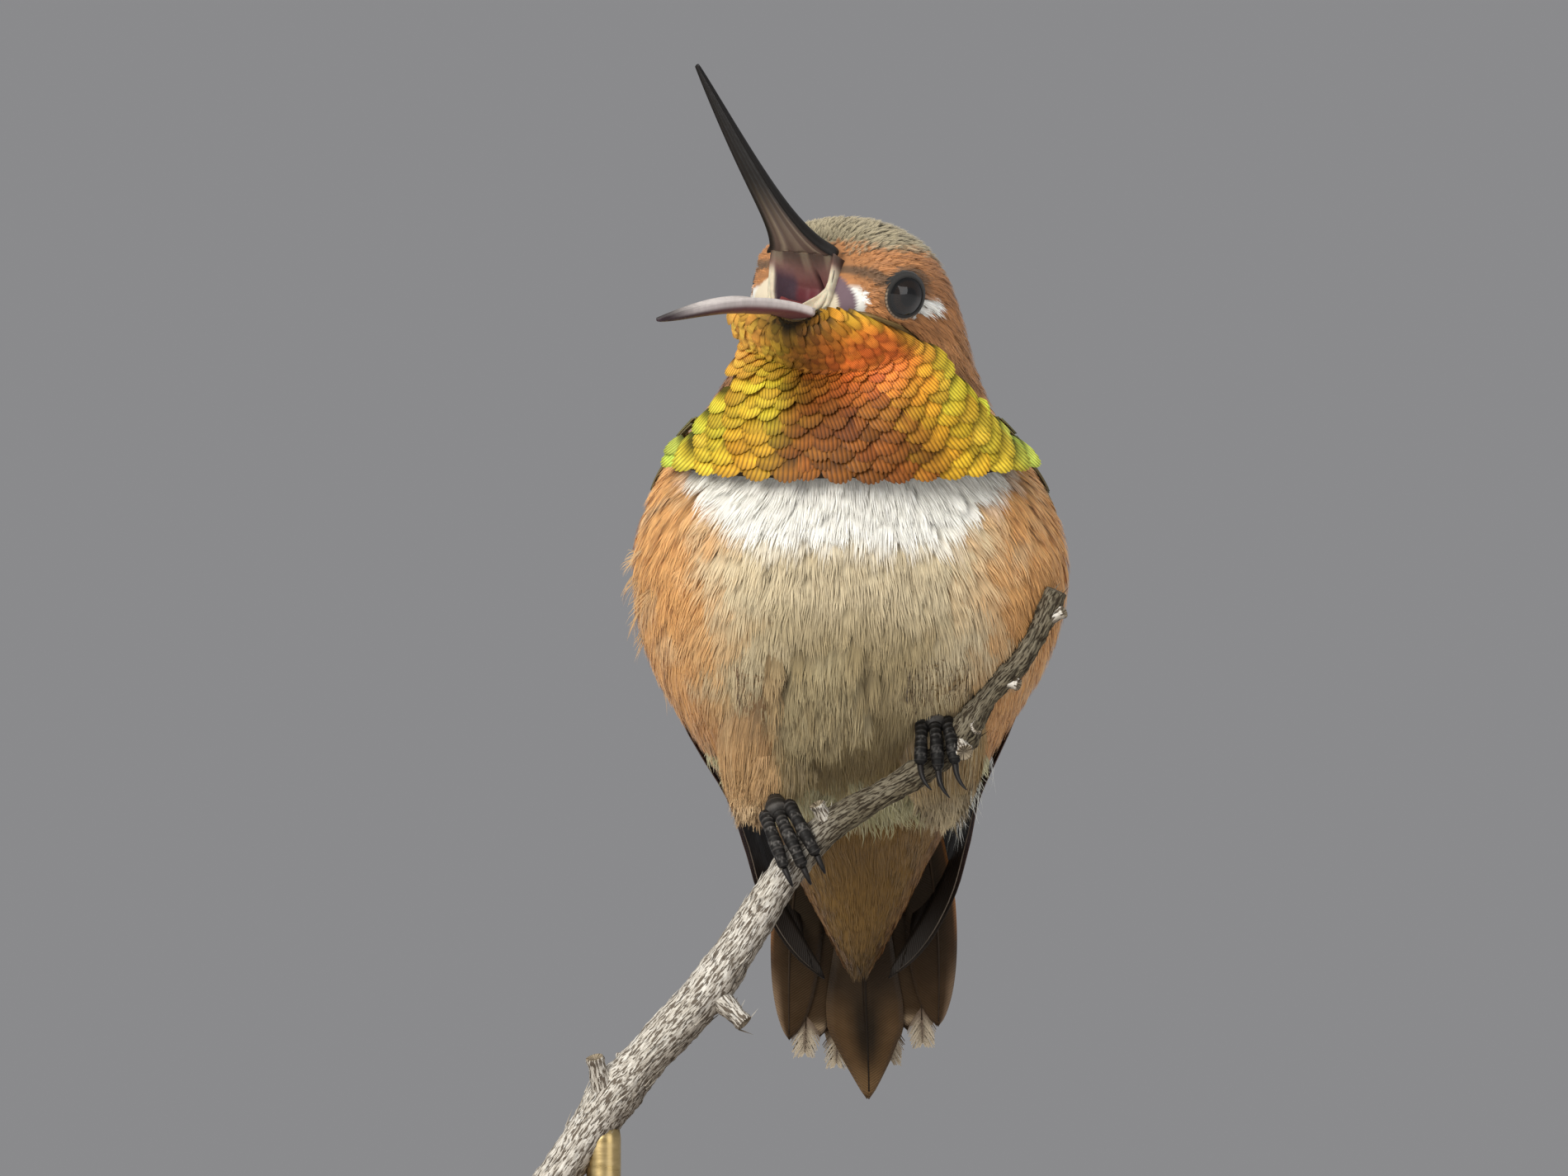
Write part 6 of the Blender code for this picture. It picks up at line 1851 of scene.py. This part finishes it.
def make_twig():
    keys = linspace(0.0, len(TWIG) - 1.0, 470)
    rows = spline(arange(len(TWIG)), TWIG, keys)
    parts = [bark_tube(rows[:, :3], rows[:, 3], 80, 420, knotted=1.0)]
    for root, tip, root_radius, tip_radius in TWIG_STUBS:
        share = linspace(0.0, 1.0, 26)
        root, tip = array(root), array(tip)
        path = root + (tip - root) * share[:, None]
        radii = root_radius + (tip_radius - root_radius) * share
        radii = radii * (1.0 + 0.25 * exp(-((share - 0.96) / 0.08)**2))
        parts.append(bark_tube(path[::-1], radii[::-1], 40, 7, 0.05))
    points, faces, tints, grain = join(parts)
    return add_piece("cut_twig", "bark", points, faces, tints, slot="bark", replaced=("perch_twig",
        ), grain=grain)


def lathe(profile, sides, x=0.0, y=0.0):
    """A turned shape from radius and height pairs, closed at both ends."""
    turns = circle(sides)
    profile = array(profile)
    rings = stack((x + profile[:, 0, None] * cos(turns), y + profile[:, 0, None] * sin(turns),
        profile[:, 1, None] + zeros(sides)), axis=-1)
    return closed_tube(rings)


def make_stand():
    """A turned wooden base with a bead round its edge, and the rod that holds the twig."""
    h = BASE_HEIGHT
    r = BASE_RADIUS
    profile = [(0.6, 0.0), (r - 1.2, 0.0), (r - 0.5, 0.0), (r - 0.15, 0.15), (r, 0.5)]
    profile += [(r, 1.3), (r - 0.05, 1.7)]
    profile += [(r - 0.55 + 0.25 * math.cos(a), 1.95 + 0.12 * math.sin(a)) for a in linspace(-1.4,
        1.4, 5)]
    profile += [(r - 1.3 + 1.2 * math.cos(a), h - 1.35 + 1.25 * math.sin(a)) for a in linspace(
        -0.25, pi / 2.0, 12)]
    profile += [(r - 2.4, h - 0.1), (r - 2.9, h - 0.32), (r - 3.3, h - 0.32), (r - 3.8, h - 0.06),
        (r - 4.6, h), (14.0, h), (6.0, h), (0.6, h)]
    add_piece("stand_turned_base", "wood", *lathe(profile, 160), slot="walnut",
        replaced=("stand_base",))
    top = twig_point(ROD_X)[0][2]
    profile = [(0.3, h + 0.02), (1.75, h + 0.02), (1.85, h + 0.12), (1.85, h + 0.55),
        (1.7, h + 0.72), (1.35, h + 0.8), (1.12, h + 0.95), (1.0, h + 1.25)]
    profile += [(1.0, z) for z in linspace(h + 1.6, top - 2.0, 10)]
    profile += [(1.0, top - 1.7), (0.9, top - 0.9), (0.3, top - 0.6)]
    add_piece("stand_brass_rod", "brass", *lathe(profile, 64, ROD_X, ROD_Y), slot="rod_brass",
        replaced=("stand_rod",))


def make_floor():
    rings = [(0.02, 0.0)] + [(radius, 0.0) for radius in (60.0, 150.0, 300.0, 500.0, 640.0)]
    rings += [(645.0, -1.5), (640.0, -4.0), (0.02, -4.0)]
    points, faces = lathe(rings, 128)
    points = points - array((0.0, 0.0, 0.05))
    floor = add_piece("pale_floor_disc", "floor", points, faces[:, ::-1])


def make_lights():
    world = bpy.data.worlds.new("soft_studio")
    world.use_nodes = True
    sky = world.node_tree.nodes["Background"].inputs
    sky["Color"].default_value = (0.255, 0.255, 0.263, 1.0)
    sky["Strength"].default_value = 1.0
    bpy.context.scene.world = world
    for name, place, size, power, tint in (("key_softbox", (-0.42, -0.66, 0.4), 0.4, 6.7,
            (1.0, 0.97, 0.91)), ("fill_softbox", (0.5, -0.6, 0.14), 0.45, 1.1, (0.99, 0.98, 0.97)),
            ("top_softbox", (0.0, -0.1, 0.72), 0.6, 3.2, (1.0, 1.0, 1.0))):
        lamp = bpy.data.lights.new(name, "AREA")
        lamp.size = size
        lamp.energy = power
        lamp.color = tint
        holder = bpy.data.objects.new(name, lamp)
        holder.location = place
        aim = array(LIGHTS_AIM) - array(place)
        flat = math.hypot(aim[0], aim[1])
        holder.rotation_euler = (pi / 2.0 + math.atan2(aim[2], flat), 0.0, math.atan2(-aim[0],
            aim[1]))
        bpy.context.scene.collection.objects.link(holder)


def make_camera():
    lens = bpy.data.cameras.new("camera")
    lens.sensor_width = 36.0
    lens.lens = CAMERA_LENS
    lens.clip_start = 0.05
    lens.clip_end = 20.0
    camera = bpy.data.objects.new("camera", lens)
    camera.location = CAMERA_PLACE
    camera.rotation_euler = (pi / 2.0, 0.0, 0.0)
    bpy.context.scene.collection.objects.link(camera)
    bpy.context.scene.camera = camera


# ---------------------------------------------------------------- the whole model

make_skin()
for side in ("left", "right"):
    make_eye(side)
make_mouth()
make_mandible("bill_upper_half", "bill_upper", UPPER_TIP, UPPER_ABOVE, 1.0, 2.45, 0.9, 0.35,
              upper_tints, 0.43, 9.0, 1.0, 0.28, 1.0)
make_mandible("bill_lower_half", "bill_lower", LOWER_TIP, -LOWER_BELOW, -1.0, 1.8, 0.72, 0.8,
              lower_tints, 0.55, 6.0, 3.2, 0.0, 0.55)
make_body_coat()
make_head_coat()
make_undertail()
make_gorget()
for side in ("left", "right"):
    make_thigh(side)
make_skirt()
make_fluff()
for side in ("left", "right"):
    make_wing(side)
make_tail()
for side in ("left", "right"):
    make_foot(side)
grow_splinters(make_twig())
make_stand()
make_floor()
make_lights()
make_camera()
bpy.context.scene.view_settings.view_transform = "Standard"
